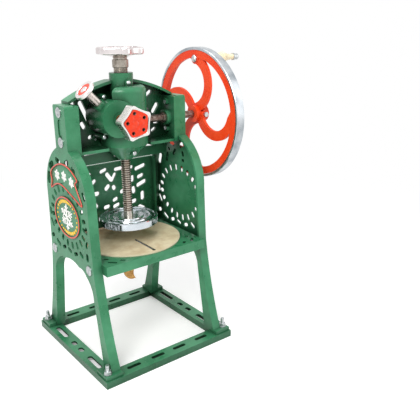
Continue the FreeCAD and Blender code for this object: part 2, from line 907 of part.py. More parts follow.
def medal_oval(name, level, shrink):
    """An upright oval on the outer side of the frame, shrunk all round."""
    oval = doc.addObject("Part::Ellipse", name)
    facing = Rotation(Vector(0, 1, 0), Vector(0, 0, 1), Vector(1, 0, 0))
    oval.Placement = Placement(Vector(), facing)
    bind(oval, "Placement.Base.x", level)
    bind(oval, "Placement.Base.z", s.medal_height)
    bind(oval, "MajorRadius", s.medal_half_width - shrink)
    bind(oval, "MinorRadius", s.medal_half_height - shrink)
    return oval


def rounds_along_x(name, low, high, spots):
    """Discs along X as separate solids: each spot is (y, z, radius)."""
    discs = []
    for index, (y, z, radius) in enumerate(spots):
        disc = doc.addObject("Part::Cylinder", f"{name}_{index}")
        disc.Placement = Placement(Vector(), Rotation(*AXIS_TURNS["X"]))
        bind(disc, "Placement.Base.x", low)
        bind(disc, "Placement.Base.y", y)
        bind(disc, "Placement.Base.z", z)
        bind(disc, "Radius", radius)
        bind(disc, "Height", high - low)
        discs.append(disc)
    return discs


def block(name, corner, size):
    """A box whose corner and size are held by the sheet."""
    box = doc.addObject("Part::Box", name)
    for path, quantity in zip("xyz", corner):
        bind(box, f"Placement.Base.{path}", quantity)
    for path, quantity in zip(("Length", "Width", "Height"), size):
        bind(box, path, quantity)
    return box


def joined(name, pieces):
    """The fusion of several objects."""
    fusion = doc.addObject("Part::MultiFuse", name)
    fusion.Shapes = pieces
    fusion.Refine = True
    return fusion


def without(name, base, tool):
    """One object cut by another."""
    difference = doc.addObject("Part::Cut", name)
    difference.Base = base
    difference.Tool = tool
    return difference


def stretched(length, width, degrees, share):
    """A slot's length, width and lean once its pattern is stretched upwards by a share."""
    across = math.cos(math.radians(degrees))
    up = math.sin(math.radians(degrees)) * share
    longer = math.hypot(across, up)
    lean = math.degrees(math.atan2(up, across))
    return plain(length * longer), plain(width * share / longer), lean


def frame_tracery():
    """The pierced ornament: rays round the medallion and openings above and below it."""
    slots = []
    reach = s.ray_gap + s.ray_length / 2
    for step in range(RAY_COUNT):
        degrees = 360 / RAY_COUNT * (step + 0.5)
        across = (s.medal_half_width + reach) * math.cos(math.radians(degrees))
        up = (s.medal_half_height + reach) * math.sin(math.radians(degrees))
        lean = math.degrees(math.atan2(float(up) * 1.3, float(across)))
        slots.append((across, s.medal_height + up, s.ray_length, s.ray_width, lean))
    headroom = s.shoulder_height - s.medal_height
    for back, up, length, width, degrees in SIDE_TRACERY:
        place_back = s.waist * (back / SIDE_DRAWN_WAIST)
        rise = headroom * (up / SIDE_DRAWN_RISE) if up > 0 else up
        share = float(headroom) / SIDE_DRAWN_RISE if up > 0 else 1
        shape = stretched(length, width, degrees, share)
        slots.append((place_back, s.medal_height + rise, *shape))
    prisms = []
    for first in range(0, len(slots), SLOTS_PER_SKETCH):
        drawing = standing_sketch(f"frame_tracery_{first}", s.frame_outer - s.frame_web)
        for slot in slots[first:first + SLOTS_PER_SKETCH]:
            drawing.slot(*slot)
        prisms.append(extrude_x(f"frame_pierced_{first}", drawing.finish(), s.frame_web))
    return prisms


def side_frames():
    """Both cast side frames. The right one is bored for the crank shaft's bush."""
    web_inside = s.frame_outer - s.frame_web
    plate = extrude_x("frame_plate", frame_silhouette(), s.frame_flange)
    inset = doc.addObject("Part::Offset2D", "frame_inset")
    inset.Source = plate.Base
    inset.Join = 0
    bind(inset, "Value", -s.frame_rim)
    hollow = extrude_x("frame_hollow", inset, s.frame_flange - s.frame_web)
    legs = block("frame_legs", (s.frame_inner, s.leg_outer * -1, 0 * s.base_height),
                 (s.frame_flange, s.leg_outer * 2, s.skirt_bottom))
    channel = without("frame_channel", hollow, legs)
    shell = without("frame_shell", plate, channel)
    feet = []
    for end in (-1, 1):
        low = s.foot_outer * -1 if end < 0 else s.foot_inner
        corner = (s.frame_inner, low, s.base_height)
        size = (s.foot_reach - s.frame_inner, s.foot_outer - s.foot_inner, s.foot_thickness)
        feet.append(block(f"frame_foot_{end}", corner, size))
    bolts = [(s.table_bolt_y * end, s.table_bolt_height) for end in (-1, 1)]
    posts = [(0, s.post_bolt_low), (0, s.post_bolt_high)]
    bosses = [(y, z, s.table_boss) for y, z in bolts] + [(y, z, s.post_boss) for y, z in posts]
    bosses.append((0, s.crank_height, s.bearing_radius))
    supports = rounds_along_x("frame_boss", s.frame_inner, web_inside, bosses)
    medal = extrude_x("medal_plate", medal_oval("medal_outline", s.frame_outer, 0), s.medal_rise)
    dish_level = s.frame_outer + s.medal_rise / 2
    inner = medal_oval("medal_inner", dish_level, s.medal_rise)
    dish = extrude_x("medal_dish", inner, s.medal_rise)
    medal_ring = without("medal_ring", medal, dish)
    casting = joined("frame_casting", [shell, medal_ring] + feet + supports)
    recess = standing_sketch("post_recess", s.frame_outer - s.post_recess)
    recess.slot(0 * s.post_half, s.crank_height + 2, s.post_boss * 3.4, s.post_boss * 1.6, 90)
    recess_cut = extrude_x("post_recess_cut", recess.finish(), s.post_recess)
    holes = [(y, z, s.hole_radius) for y, z in bolts + posts]
    drills = rounds_along_x("frame_drill", s.frame_inner, s.frame_outer, holes)
    foot_drills = []
    for end in (-1, 1):
        drill = doc.addObject("Part::Cylinder", f"foot_drill_{end}")
        place(drill, s.foot_bolt_x, s.foot_bolt_y * end, s.base_height)
        bind(drill, "Radius", s.hole_radius)
        bind(drill, "Height", s.foot_thickness)
        foot_drills.append(drill)
    cutters = joined("frame_cutters", frame_tracery() + [recess_cut] + drills + foot_drills)
    finished = without("frame_finished", casting, cutters)
    bore = rounds_along_x("bearing_bore", s.frame_inner, s.frame_outer,
                          [(0, s.crank_height, s.bush_radius)])[0]
    right = without("side_frame_right", finished, bore)
    left = doc.addObject("Part::Mirroring", "side_frame_left")
    left.Source = finished
    left.Normal = Vector(1, 0, 0)
    for frame in (right, left):
        frame.Label = frame.Name
        nodes[frame.Name] = frame


def frame_fasteners():
    """Round-headed bolts through the posts and the table lugs, with their nuts inside."""
    head = (float(s.frame_bolt_head), float(s.bolt_head_height))
    radius = float(s.bolt_radius)
    nut_shape = nut(float(s.nut_radius), float(s.nut_height), radius)
    reach = float(s.nut_height) + 1
    post = screw(radius, float(s.frame_outer - s.cheek_face) + reach, *head)
    table = screw(radius, float(s.frame_flange + s.table_wall) + reach, *head)
    post_spots = [(0, s.post_bolt_low), (0, s.post_bolt_high)]
    table_spots = [(s.table_bolt_y * end, s.table_bolt_height) for end in (-1, 1)]
    for name, shape, spots, inner in (
        ("post", post, post_spots, s.cheek_face),
        ("table", table, table_spots, s.frame_inner - s.table_wall),
    ):
        heads = [(s.frame_outer * hand, y, z) for hand in (-1, 1) for y, z in spots]
        nuts = [(inner * hand, y, z) for hand in (-1, 1) for y, z in spots]
        group(f"{name}_bolts", shape, heads, outwards)
        group(f"{name}_nuts", nut_shape, nuts, inwards)


# ---------------------------------------------------------------------------------------------
# Table, disc and blade
# ---------------------------------------------------------------------------------------------

def table():
    """The table between the frames: a plate with a skirt, a chute and the disc's seat."""
    body = new_body("table")
    side = s.frame_inner
    wall = s.table_wall
    add_box(body, "XY", s.skirt_bottom, s.table_height, (-side, -s.table_front, side, s.table_back))
    hollow = (wall - side, wall - s.table_front, side - wall, s.table_back - wall)
    cut_box(body, "XY", s.skirt_bottom, s.table_underside, hollow)
    add_circle(body, "XY", s.skirt_bottom, s.table_underside,
               s.adjuster_x, s.adjuster_y, s.adjuster_boss)
    seat = s.disc_radius + s.disc_gap
    cut_circle(body, "XY", s.disc_seat, s.table_height, 0, 0, seat)
    cut_circle(body, "XY", s.skirt_bottom, s.table_height, 0, 0, s.chute_radius)
    slots = []
    for quarter in (45, 135, 225, 315):
        for lean, outer, length in ((-8, 0, 12), (8, 0, 12), (0, 13, 20)):
            radius = s.table_slot_radius + outer
            u, v = turned_by(radius, 0 * radius, quarter + lean)
            slots.append((u, v, plain(length), plain(6), quarter + lean + 90))
    cut_slots(body, "XY", s.table_underside, s.table_plate, slots)
    cut_circle(body, "XY", s.skirt_bottom, s.table_height,
               s.adjuster_x, s.adjuster_y, s.adjuster_radius + s.running_gap)
    holes = sketch_in(body, "YZ", -side)
    for end in (-1, 1):
        holes.circle(s.table_bolt_y * end, s.table_bolt_height, s.hole_radius)
    pocket(body, holes, "YZ", side * 2)
    feet = sketch_in(body, "XY", s.table_underside)
    for hand in (-1, 1):
        feet.circle(s.panel_bolt_x * hand, (s.panel_foot_front + s.panel_front) / 2, s.screw_hole)
    pocket(body, feet, "XY", s.table_plate)


def blade_group():
    """The brass disc, the blade that stands in its slot, and the clamp below."""
    disc = new_body("blade_disc")
    add_circle(disc, "XY", s.disc_seat, s.disc_top, 0, 0, s.disc_radius)
    slot = sketch_in(disc, "XY", s.disc_seat)
    edge = s.blade_slot / 2
    gap = s.disc_gap
    slot.rectangle(-edge, -s.blade_outer - gap, edge, -s.blade_inner + gap)
    pocket(disc, slot, "XY", s.disc_thickness)
    cut_circle(disc, "XY", s.disc_seat, s.disc_top, 0, -s.blade_outer, edge * 1.3)
    clamp_top = s.disc_seat
    clamp_bottom = clamp_top - s.clamp_thickness
    clamp_outer = s.chute_radius - s.bolt_radius
    screws = [(s.clamp_width / 2 + edge, -s.blade_inner - 10), (s.clamp_width / 2 + edge, -70)]
    taps = sketch_in(disc, "XY", s.disc_seat)
    for x, y in screws:
        taps.circle(x, y, s.screw_radius)
    pocket(disc, taps, "XY", s.disc_thickness / 2)
    blade_top = s.disc_top + s.blade_proud
    blade_side = edge - s.blade_thickness
    blade = new_body("blade")
    profile = sketch_in(blade, "XZ", -s.blade_outer)
    profile.outline(
        (blade_side, blade_top - s.blade_height),
        (edge, blade_top - s.blade_height),
        (edge, blade_top - s.blade_proud),
        (blade_side, blade_top),
    )
    pad(blade, profile, "XZ", s.blade_outer - s.blade_inner)
    seat = sketch_in(blade, "XZ", -s.blade_outer)
    seat.rectangle(blade_side, blade_top - s.blade_height, edge, s.disc_seat)
    pocket(blade, seat, "XZ", s.blade_outer - clamp_outer)
    clamp = new_body("blade_clamp")
    add_box(clamp, "XY", clamp_bottom, clamp_top,
            (edge, -clamp_outer, edge + s.clamp_width, -s.blade_inner))
    holes = sketch_in(clamp, "XY", clamp_bottom)
    for x, y in screws:
        holes.circle(x, y, s.screw_hole)
    pocket(clamp, holes, "XY", s.clamp_thickness)
    length = float(s.clamp_thickness + s.disc_thickness / 2)
    shape = screw(float(s.screw_radius), length, float(s.screw_head), float(s.screw_head_height))
    spots = [(x, y, clamp_bottom) for x, y in screws]
    group("blade_screws", shape, spots, Vector(0, 0, -1))


def disc_adjuster():
    """The brass thumb screw under the table that tips the disc towards the blade."""
    body = new_body("disc_adjuster")
    shoulder = s.skirt_bottom - s.running_gap
    collar = shoulder - s.adjuster_radius * 2
    tip = s.disc_seat - s.stop_gap
    revolve(
        body,
        (0, collar),
        (s.adjuster_boss, collar),
        (s.adjuster_boss, shoulder),
        (s.adjuster_radius, shoulder),
        (s.adjuster_radius, tip),
        (0, tip),
    )
    wing = sketch_in(body, "XZ", -s.adjuster_radius / 2)
    reach = s.adjuster_boss * 1.6
    drop = shoulder - s.adjuster_drop
    wing.outline(
        (-reach, shoulder - s.running_gap, s.adjuster_boss * 2.3),
        (s.adjuster_radius, drop),
        (s.adjuster_boss, drop, -s.adjuster_boss * 2.3),
        (reach, shoulder - s.running_gap),
    )
    pad(body, wing, "XZ", s.adjuster_radius)
    place(body, s.adjuster_x, s.adjuster_y, 0)


# Openings of the back panel: (across, up, length, width, degrees), from the middle of the
# table's top. They and the head's are drawn for this half width between the frames.
DRAWN_HALF_WIDTH = 122.0
PANEL_TRACERY = (
    (-11, 139, 19, 9, 18), (30, 138, 27, 9, 3), (3, 122, 27, 10, 125), (14, 120, 23, 9, 60),
    (-3, 98, 17, 12, 45), (14, 95, 14, 10, 120), (16, 66, 15, 10, 20), (-7, 52, 17, 10, 5),
    (18, 51, 19, 10, 15), (-86, 133, 31, 10, -15), (86, 133, 31, 10, 15), (86, 111, 19, 10, 15),
    (88, 93, 29, 11, 20), (-85, 111, 19, 10, -15), (-88, 93, 29, 11, -20), (-52, 136, 21, 9, -5),
    (60, 136, 15, 9, 0), (-40, 114, 23, 10, 40), (-66, 114, 17, 10, 90), (44, 112, 19, 10, 60),
    (64, 108, 17, 10, 90), (-34, 88, 21, 11, 0), (-62, 84, 21, 11, 60), (40, 84, 23, 11, 20),
    (66, 80, 19, 11, 100), (-90, 62, 21, 11, 90), (-64, 56, 21, 11, 20), (-36, 62, 19, 10, 120),
    (42, 58, 21, 10, 70), (64, 52, 19, 11, 10), (90, 62, 23, 11, 90), (-86, 32, 23, 11, 30),
    (-52, 30, 23, 11, 0), (-18, 28, 21, 10, 20), (18, 28, 21, 10, -20), (52, 30, 23, 11, 0),
    (86, 32, 23, 11, -30),
)


def back_panel():
    """The pierced guard behind the ice, standing on the table between the frames."""
    body = new_body("back_panel")
    side = s.frame_inner
    low = s.table_height
    back = s.panel_front + s.panel_thickness
    add_box(body, "XZ", s.panel_front, back, (-side, low, side, s.panel_top))
    cut_box(body, "XZ", s.panel_front, back, (-s.panel_arch, low, s.panel_arch, low + s.panel_lift))
    flanges = sketch_in(body, "XZ", back - s.panel_flange_depth)
    for hand in (-1, 1):
        flanges.rectangle((side - s.panel_flange / 2) * hand, low, side * hand, s.panel_top)
    pad(body, flanges, "XZ", s.panel_flange_depth)
    feet = sketch_in(body, "XY", low)
    for hand in (-1, 1):
        inner = (side - s.panel_flange * 2.8) * hand
        feet.rectangle(inner, s.panel_foot_front, side * hand, s.panel_front)
    pad(body, feet, "XY", s.panel_foot)
    holes = sketch_in(body, "XY", low)
    middle = (s.panel_foot_front + s.panel_front) / 2
    for hand in (-1, 1):
        holes.circle(s.panel_bolt_x * hand, middle, s.screw_hole)
    pocket(body, holes, "XY", s.panel_foot)
    tracery = []
    for across, up, length, width, degrees in PANEL_TRACERY:
        place_across = s.frame_inner * (across / DRAWN_HALF_WIDTH)
        tracery.append((place_across, low + up, plain(length), plain(width), degrees))
    cut_slots(body, "XZ", s.panel_front, s.panel_thickness, tracery)
    length = float(s.panel_foot + s.table_plate)
    shape = screw(float(s.screw_radius), length, float(s.screw_head), float(s.screw_head_height))
    spots = [(s.panel_bolt_x * hand, middle, low + s.panel_foot) for hand in (-1, 1)]
    group("panel_screws", shape, spots, UP)


# ---------------------------------------------------------------------------------------------
# Head
# ---------------------------------------------------------------------------------------------

# Openings of the head's web, from the middle of its shelf: (across, up, length, width, degrees)
HEAD_TRACERY = (
    (-77, 72, 48, 10, 113), (-82, 44, 17, 9, 118), (-66, 19, 14, 8, 25), (-100, 78, 34, 9, 98),
    (-101, 35, 22, 9, 100), (-101, 8, 14, 7, 20), (-58, 93, 26, 9, 125), (94, 64, 26, 11, 55),
    (72, 93, 34, 9, 35), (95, 33, 14, 7, 0), (88, 17, 14, 7, 30), (70, 53, 28, 9, 75),
    (60, 26, 16, 8, 90), (-60, -15, 50, 6, 4), (60, -15, 50, 6, -4), (0, -28, 30, 6, 0),
)


def head_casting():
    """The bridge between the posts that carries the spindle, the gears and the covers."""
    body = new_body("head_casting")
    side = s.frame_inner
    front = s.head_web_front
    back = s.web_back
    radius = s.head_arch_radius
    web = sketch_in(body, "XZ", front)
    web.outline(
        (-side, s.head_bottom),
        (side, s.head_bottom),
        (side, s.head_spring, radius),
        (s.boss_radius, s.head_crown),
        (-s.boss_radius, s.head_crown, radius),
        (-side, s.head_spring),
    )
    pad(body, web, "XZ", s.head_web)
    flange = sketch_in(body, "XZ", -s.head_flange_front)
    low = s.head_flange
    flange.outline(
        (side, s.head_spring - low),
        (side, s.head_spring, radius),
        (s.boss_radius, s.head_crown),
        (-s.boss_radius, s.head_crown, radius),
        (-side, s.head_spring),
        (-side, s.head_spring - low, -(radius - low)),
        (-s.boss_radius, s.head_crown - low),
        (s.boss_radius, s.head_crown - low, -(radius - low)),
    )
    pad(body, flange, "XZ", back + s.head_flange_front)
    cheeks = sketch_in(body, "XZ", -s.post_half)
    sill = s.shelf_height - s.shelf_thickness
    for hand in (-1, 1):
        cheeks.rectangle(s.cheek_face * hand, sill, side * hand, s.head_spring - low)
    pad(body, cheeks, "XZ", s.post_half + back)
    shelf = (-s.cheek_face, sill, s.cheek_face, s.shelf_height)
    add_box(body, "XZ", -s.shelf_front, front, shelf)
    # the gear well, then the two spindle bosses and the arm behind the lower one
    cut_circle(body, "XY", sill, s.cover_top - s.hood_wall, 0, 0, s.gear_well)
    clear = s.hood_radius + s.bolt_play
    cut_box(body, "XY", sill, s.shelf_height, (-clear, -s.shelf_front, clear, front))
    add_circle(body, "XY", s.boss_bottom, s.boss_top, 0, 0, s.boss_radius)
    arms = sketch_in(body, "XZ", 0 * front)
    arms.rectangle(-s.boss_radius, s.hood_top + s.bolt_play, s.boss_radius, s.head_crown)
    pad(body, arms, "XZ", back)
    add_circle(body, "XY", s.lower_boss_bottom, s.lower_boss_top, 0, 0, s.lower_boss_radius)
    arm = s.lower_boss_radius * 0.8
    add_box(body, "XY", s.lower_boss_bottom, s.lower_boss_top, (-arm, 0, arm, back))
    cut_circle(body, "XY", s.lower_boss_bottom, s.boss_top, 0, 0, s.spindle_bush)
    # the crank shaft's boss on the right cheek and the feed shaft's boss on the web
    add_circle(body, "YZ", s.bearing_face, side, 0, s.crank_height, s.bearing_radius)
    cut_circle(body, "YZ", s.bearing_face, side, 0, s.crank_height, s.bush_radius)
    feed_bush = s.feed_shaft + s.bush_wall
    add_circle(body, "XZ", front - s.head_web, back + s.head_web,
               s.feed_x, s.feed_height, feed_bush + s.bush_wall)
    cut_circle(body, "XZ", front - s.head_web, back + s.head_web,
               s.feed_x, s.feed_height, feed_bush)
    posts = sketch_in(body, "YZ", -side)
    for height in (s.post_bolt_low, s.post_bolt_high):
        posts.circle(0, height, s.hole_radius)
    pocket(body, posts, "YZ", side * 2)
    tracery = []
    for across, up, length, width, degrees in HEAD_TRACERY:
        place_across = s.frame_inner * (across / DRAWN_HALF_WIDTH)
        spot = (place_across, s.shelf_height + up)
        tracery.append((*spot, plain(length), plain(width), degrees))
    cut_slots(body, "XZ", front, s.head_web, tracery)
    drill_head_screws(body)


def drill_head_screws(body):
    """Tapped holes for the drum's screws, the hood's lug and the rear cover."""
    web = sketch_in(body, "XZ", s.head_web_front)
    for x, z in ear_spots():
        web.circle(x, z, s.screw_radius)
    for x, z in cover_spots():
        web.circle(x, z, s.screw_radius)
    pocket(body, web, "XZ", s.head_web)
    lug = sketch_in(body, "XZ", -s.boss_radius)
    lug.circle(0, hood_screw_heights()[0], s.screw_radius)
    pocket(body, lug, "XZ", s.boss_radius - s.spindle_bush)
    low = sketch_in(body, "XZ", -s.lower_boss_radius)
    low.circle(0, hood_screw_heights()[1], s.screw_radius)
    pocket(body, low, "XZ", s.lower_boss_radius - s.spindle_bush)


def hood_screw_heights():
    """The heights of the hood's screws: in the lug on top and in the cone below."""
    middle = (s.lower_boss_bottom + s.lower_boss_top) / 2
    return s.hood_top + s.hood_lug - 1, middle


def low_seat_front():
    """The front of the seat under the hood's lower screw."""
    return -s.lower_boss_radius - s.hood_seat


def ear_spots():
    """The middles of the drum's two ears, as (x, z)."""
    spots = []
    for degrees in EAR_ANGLES:
        u, v = turned_by(s.ear_distance, 0 * s.ear_distance, degrees)
        spots.append((s.feed_x + u, s.feed_height + v))
    return spots


def cover_spots():
    """The middles of the rear cover's screws, as (x, z)."""
    across = s.hood_radius + s.cover_flange / 2
    heights = (s.shelf_height + s.cover_flange, s.hood_top - s.cover_flange * 3)
    return [(across * hand, height) for hand in (-1, 1) for height in heights]


def gear_hood():
    """The front cover of the gears: round, coned below, cut away round and above the drum."""
    body = new_body("gear_hood")
    wall = s.hood_wall
    hole = s.boss_radius + s.bolt_play + s.hood_gap
    inner = s.hood_radius - wall
    bend = s.hood_corner
    revolve(
        body,
        (hole, s.hood_top - wall),
        (s.hood_radius - bend, s.hood_top - wall, -(bend - wall)),
        (inner, s.hood_top - bend),
        (inner, s.hood_skirt + wall / 2),
        (s.hood_tip_radius + wall, s.hood_tip + wall + wall / 2),
        (s.hood_tip_radius, s.hood_tip + wall),
        (s.spindle_bore + s.bolt_play, s.hood_tip + wall),
        (s.spindle_bore + s.bolt_play, s.hood_tip),
        (s.hood_tip_radius, s.hood_tip),
        (s.hood_radius, s.hood_skirt),
        (s.hood_radius, s.hood_top - bend, bend),
        (s.hood_radius - bend, s.hood_top),
        (hole, s.hood_top),
    )
    behind = sketch_in(body, "XY", s.hood_tip)
    far = s.hood_radius + wall
    limit = s.drum_back
    behind.rectangle(-far, limit, far, far)
    pocket(body, behind, "XY", s.hood_top - s.hood_tip)
    cut_circle(body, "XZ", -far, far, s.feed_x, s.feed_height, s.drum_radius + s.hood_gap)
    for ear_x, ear_z in ear_spots():
        if float(ear_x) > -float(far):
            cut_circle(body, "XZ", s.ear_front - s.screw_head_height * 1.5, far,
                       ear_x, ear_z, s.ear_radius + s.hood_gap)
    # Open above the drum; the second cut takes the end of the top that this leaves loose.
    cut_box(body, "XY", s.feed_height, s.hood_top,
            (-far, -s.hood_front_band, -s.hood_opening, far))
    cut_box(body, "XY", s.feed_height, s.hood_top, (-far, 0 * far, 0 * far, far))
    arm = s.lower_boss_radius * 0.8 + s.hood_gap
    cut_box(body, "XY", s.lower_boss_bottom - s.hood_gap, s.lower_boss_top + s.hood_gap,
            (-arm, 0 * arm, arm, far))
    lug_front = -s.boss_radius - s.bolt_play - wall
    foot = s.hood_top - wall / 2
    top = hood_screw_heights()[0]
    add_box(body, "XZ", lug_front, lug_front + wall, (-s.hood_lug, foot, s.hood_lug, top))
    add_circle(body, "XZ", lug_front, lug_front + wall, 0, top, s.hood_lug)
    cut_circle(body, "XZ", -s.boss_radius - s.bolt_play - wall, -s.boss_radius + wall,
               0, top, s.screw_hole)
    low_screw = hood_screw_heights()[1]
    seat_front = low_seat_front()
    add_circle(body, "XZ", seat_front, -s.lower_boss_radius - s.hood_gap, 0, low_screw, s.hood_lug)
    cut_circle(body, "XZ", seat_front, -s.lower_boss_radius, 0, low_screw, s.screw_hole)
    boss_start = s.hood_radius - wall - s.bush_flange_rise
    add_circle(body, "YZ", boss_start, s.hood_radius, 0, s.crank_height, s.bush_radius + wall)
    cut_circle(body, "YZ", boss_start, s.hood_radius + wall, 0, s.crank_height, s.bush_radius)


def rear_cover():
    """The back cover of the gears, screwed to the web."""
    body = new_body("rear_gear_cover")
    wall = s.hood_wall
    start = s.web_back
    far = s.hood_radius
    low = s.shelf_height
    high = s.cover_top
    half = root_of(far * far - start * start)
    outer = sketch_in(body, "XY", low)
    outer.outline((half, start, far), (-half, start))
    pad(body, outer, "XY", high - low)
    plate = (-far - s.cover_flange, low, far + s.cover_flange, high)
    add_box(body, "XZ", start, start + s.cover_flange_thickness, plate)
    inner_half = root_of((far - wall) * (far - wall) - start * start)
    hollow = sketch_in(body, "XY", low + wall)
    hollow.outline((inner_half, start, far - wall), (-inner_half, start))
    pocket(body, hollow, "XY", high - low - wall * 2)
    holes = sketch_in(body, "XZ", start)
    for x, z in cover_spots():
        holes.circle(x, z, s.screw_hole)
    pocket(body, holes, "XZ", s.cover_flange_thickness)
    clear = sketch_in(body, "XZ", start)
    clear.circle(s.feed_x, s.feed_height, s.feed_shaft + s.bush_wall * 2 + s.bolt_play)
    pocket(body, clear, "XZ", s.head_web + s.bolt_play)
    length = float(s.cover_flange_thickness + s.head_web)
    shape = screw(float(s.screw_radius), length, float(s.screw_head), float(s.screw_head_height))
    face = start + s.cover_flange_thickness
    group("cover_screws", shape, [(x, face, z) for x, z in cover_spots()], Vector(0, 1, 0))


def feed_drum():
    """The round housing of the feed worm, with its ears and the plunger's socket."""
    body = new_body("feed_drum")
    x = s.feed_x
    z = s.feed_height
    wall = s.drum_wall
    add_circle(body, "XZ", s.drum_front, s.drum_back, x, z, s.drum_radius)
    ears = sketch_in(body, "XZ", s.ear_front)
    for ear_x, ear_z in ear_spots():
        ears.circle(ear_x, ear_z, s.ear_radius)
    pad(body, ears, "XZ", s.drum_back - s.ear_front)
    add_circle(body, "XZ", s.drum_front - wall / 2, s.drum_front, x, z, s.drum_ring)
    socket = body.newObject("PartDesign::AdditiveCylinder", "feed_drum_socket")
    aim_plunger(socket)
    bind(socket, "Radius", s.sleeve_radius + wall)
    bind(socket, "Height", s.drum_radius + wall * 2)
    cut_circle(body, "XZ", s.drum_front + wall, s.drum_back, x, z, s.drum_radius - wall)
    well = sketch_in(body, "XY", s.feed_height - s.drum_radius * 2)
    well.circle(0, 0, s.gear_well)
    pocket(body, well, "XY", s.drum_radius * 4)
    cut_circle(body, "XZ", s.drum_front - wall, s.drum_front + wall,
               x, z, s.feed_shaft + s.bush_wall)
    bore = body.newObject("PartDesign::SubtractiveCylinder", "feed_drum_socket_bore")
    aim_plunger(bore)
    bind(bore, "Radius", s.sleeve_radius)
    bind(bore, "Height", s.drum_radius + wall * 3)
    holes = sketch_in(body, "XZ", s.ear_front)
    for ear_x, ear_z in ear_spots():
        holes.circle(ear_x, ear_z, s.screw_hole)
    pocket(body, holes, "XZ", s.drum_back - s.ear_front)
    body.Tip = body.Group[-1]
    length = float(s.web_back - s.ear_front)
    shape = screw(float(s.screw_radius), length, float(s.screw_head), float(s.screw_head_height))
    spots = [(ear_x, s.ear_front, ear_z) for ear_x, ear_z in ear_spots()]
    group("drum_screws", shape, spots, Vector(0, -1, 0))


def hood_screws():
    """The screws that hold the hood to the head's two bosses."""
    upper, lower = hood_screw_heights()
    head = (float(s.screw_head), float(s.screw_head_height))
    face = -s.boss_radius - s.bolt_play - s.hood_wall
    reach = float(s.boss_radius - s.spindle_bush) * 0.7
    short = screw(float(s.screw_radius), float(s.hood_wall) + reach, *head)
    seat = low_seat_front()
    long = screw(float(s.screw_radius), float(s.hood_seat) + 3, *head)
    copies = []
    for shape, front, height in ((short, face, upper), (long, seat, lower)):
        placed = shape.copy()
        where = Vector(0, float(front), float(height))
        placed.Placement = Placement(where, Rotation(UP, Vector(0, -1, 0)))
        copies.append(placed)
    part_node("hood_screws", Part.makeCompound(copies))


def bushes():
    """Bronze bushes of the crank shaft, the spindle and the feed shaft."""
    crank = s.shaft_radius + s.running_gap
    flange = s.bush_radius + s.bush_flange_rise
    turned_piece("crank_bush_outer", (
        (crank, s.bearing_face),
        (s.bush_radius, s.bearing_face),
        (s.bush_radius, s.frame_outer),
        (flange, s.frame_outer),
        (flange, s.frame_outer + s.bush_flange),
        (crank, s.frame_outer + s.bush_flange),
    ), z=s.crank_height, along="X")
    inner_start = s.hood_radius - s.hood_wall - s.bush_flange_rise
    turned_piece("crank_bush_inner", (
        (crank, inner_start),
        (s.bush_radius, inner_start),
        (s.bush_radius, s.hood_radius),
        (flange, s.hood_radius),
        (flange, s.hood_radius + s.bush_flange),
        (crank, s.hood_radius + s.bush_flange),
    ), z=s.crank_height, along="X")
    spindle_flange = s.spindle_bush + s.bush_flange_rise / 2
    turned_piece("spindle_bush_lower", (
        (s.spindle_bore, s.lower_boss_bottom),
        (s.spindle_bush, s.lower_boss_bottom),
        (s.spindle_bush, s.lower_boss_top),
        (spindle_flange, s.lower_boss_top),
        (spindle_flange, s.lower_boss_top + s.bush_flange),
        (s.spindle_bore, s.lower_boss_top + s.bush_flange),
    ))
    turned_piece("spindle_bush_upper", (
        (s.spindle_bore, s.boss_bottom - s.bush_flange),
        (spindle_flange, s.boss_bottom - s.bush_flange),
        (spindle_flange, s.boss_bottom),
        (s.spindle_bush, s.boss_bottom),
        (s.spindle_bush, s.boss_top),
        (s.spindle_bore, s.boss_top),
    ))
    feed = s.feed_shaft + s.running_gap
    feed_outer = s.feed_shaft + s.bush_wall
    front = s.drum_front - s.drum_wall / 2
    front_ring = ring_profile(feed, feed_outer, front, s.drum_front + s.drum_wall)
    turned_piece("feed_bush_front", front_ring,
                 x=s.feed_x, z=s.feed_height, along="Y")
    turned_piece("feed_bush_back", ring_profile(feed, feed_outer, s.head_web_front - s.head_web,
                                                s.web_back + s.head_web),
                 x=s.feed_x, z=s.feed_height, along="Y")


# ---------------------------------------------------------------------------------------------
# Crank drive
# ---------------------------------------------------------------------------------------------

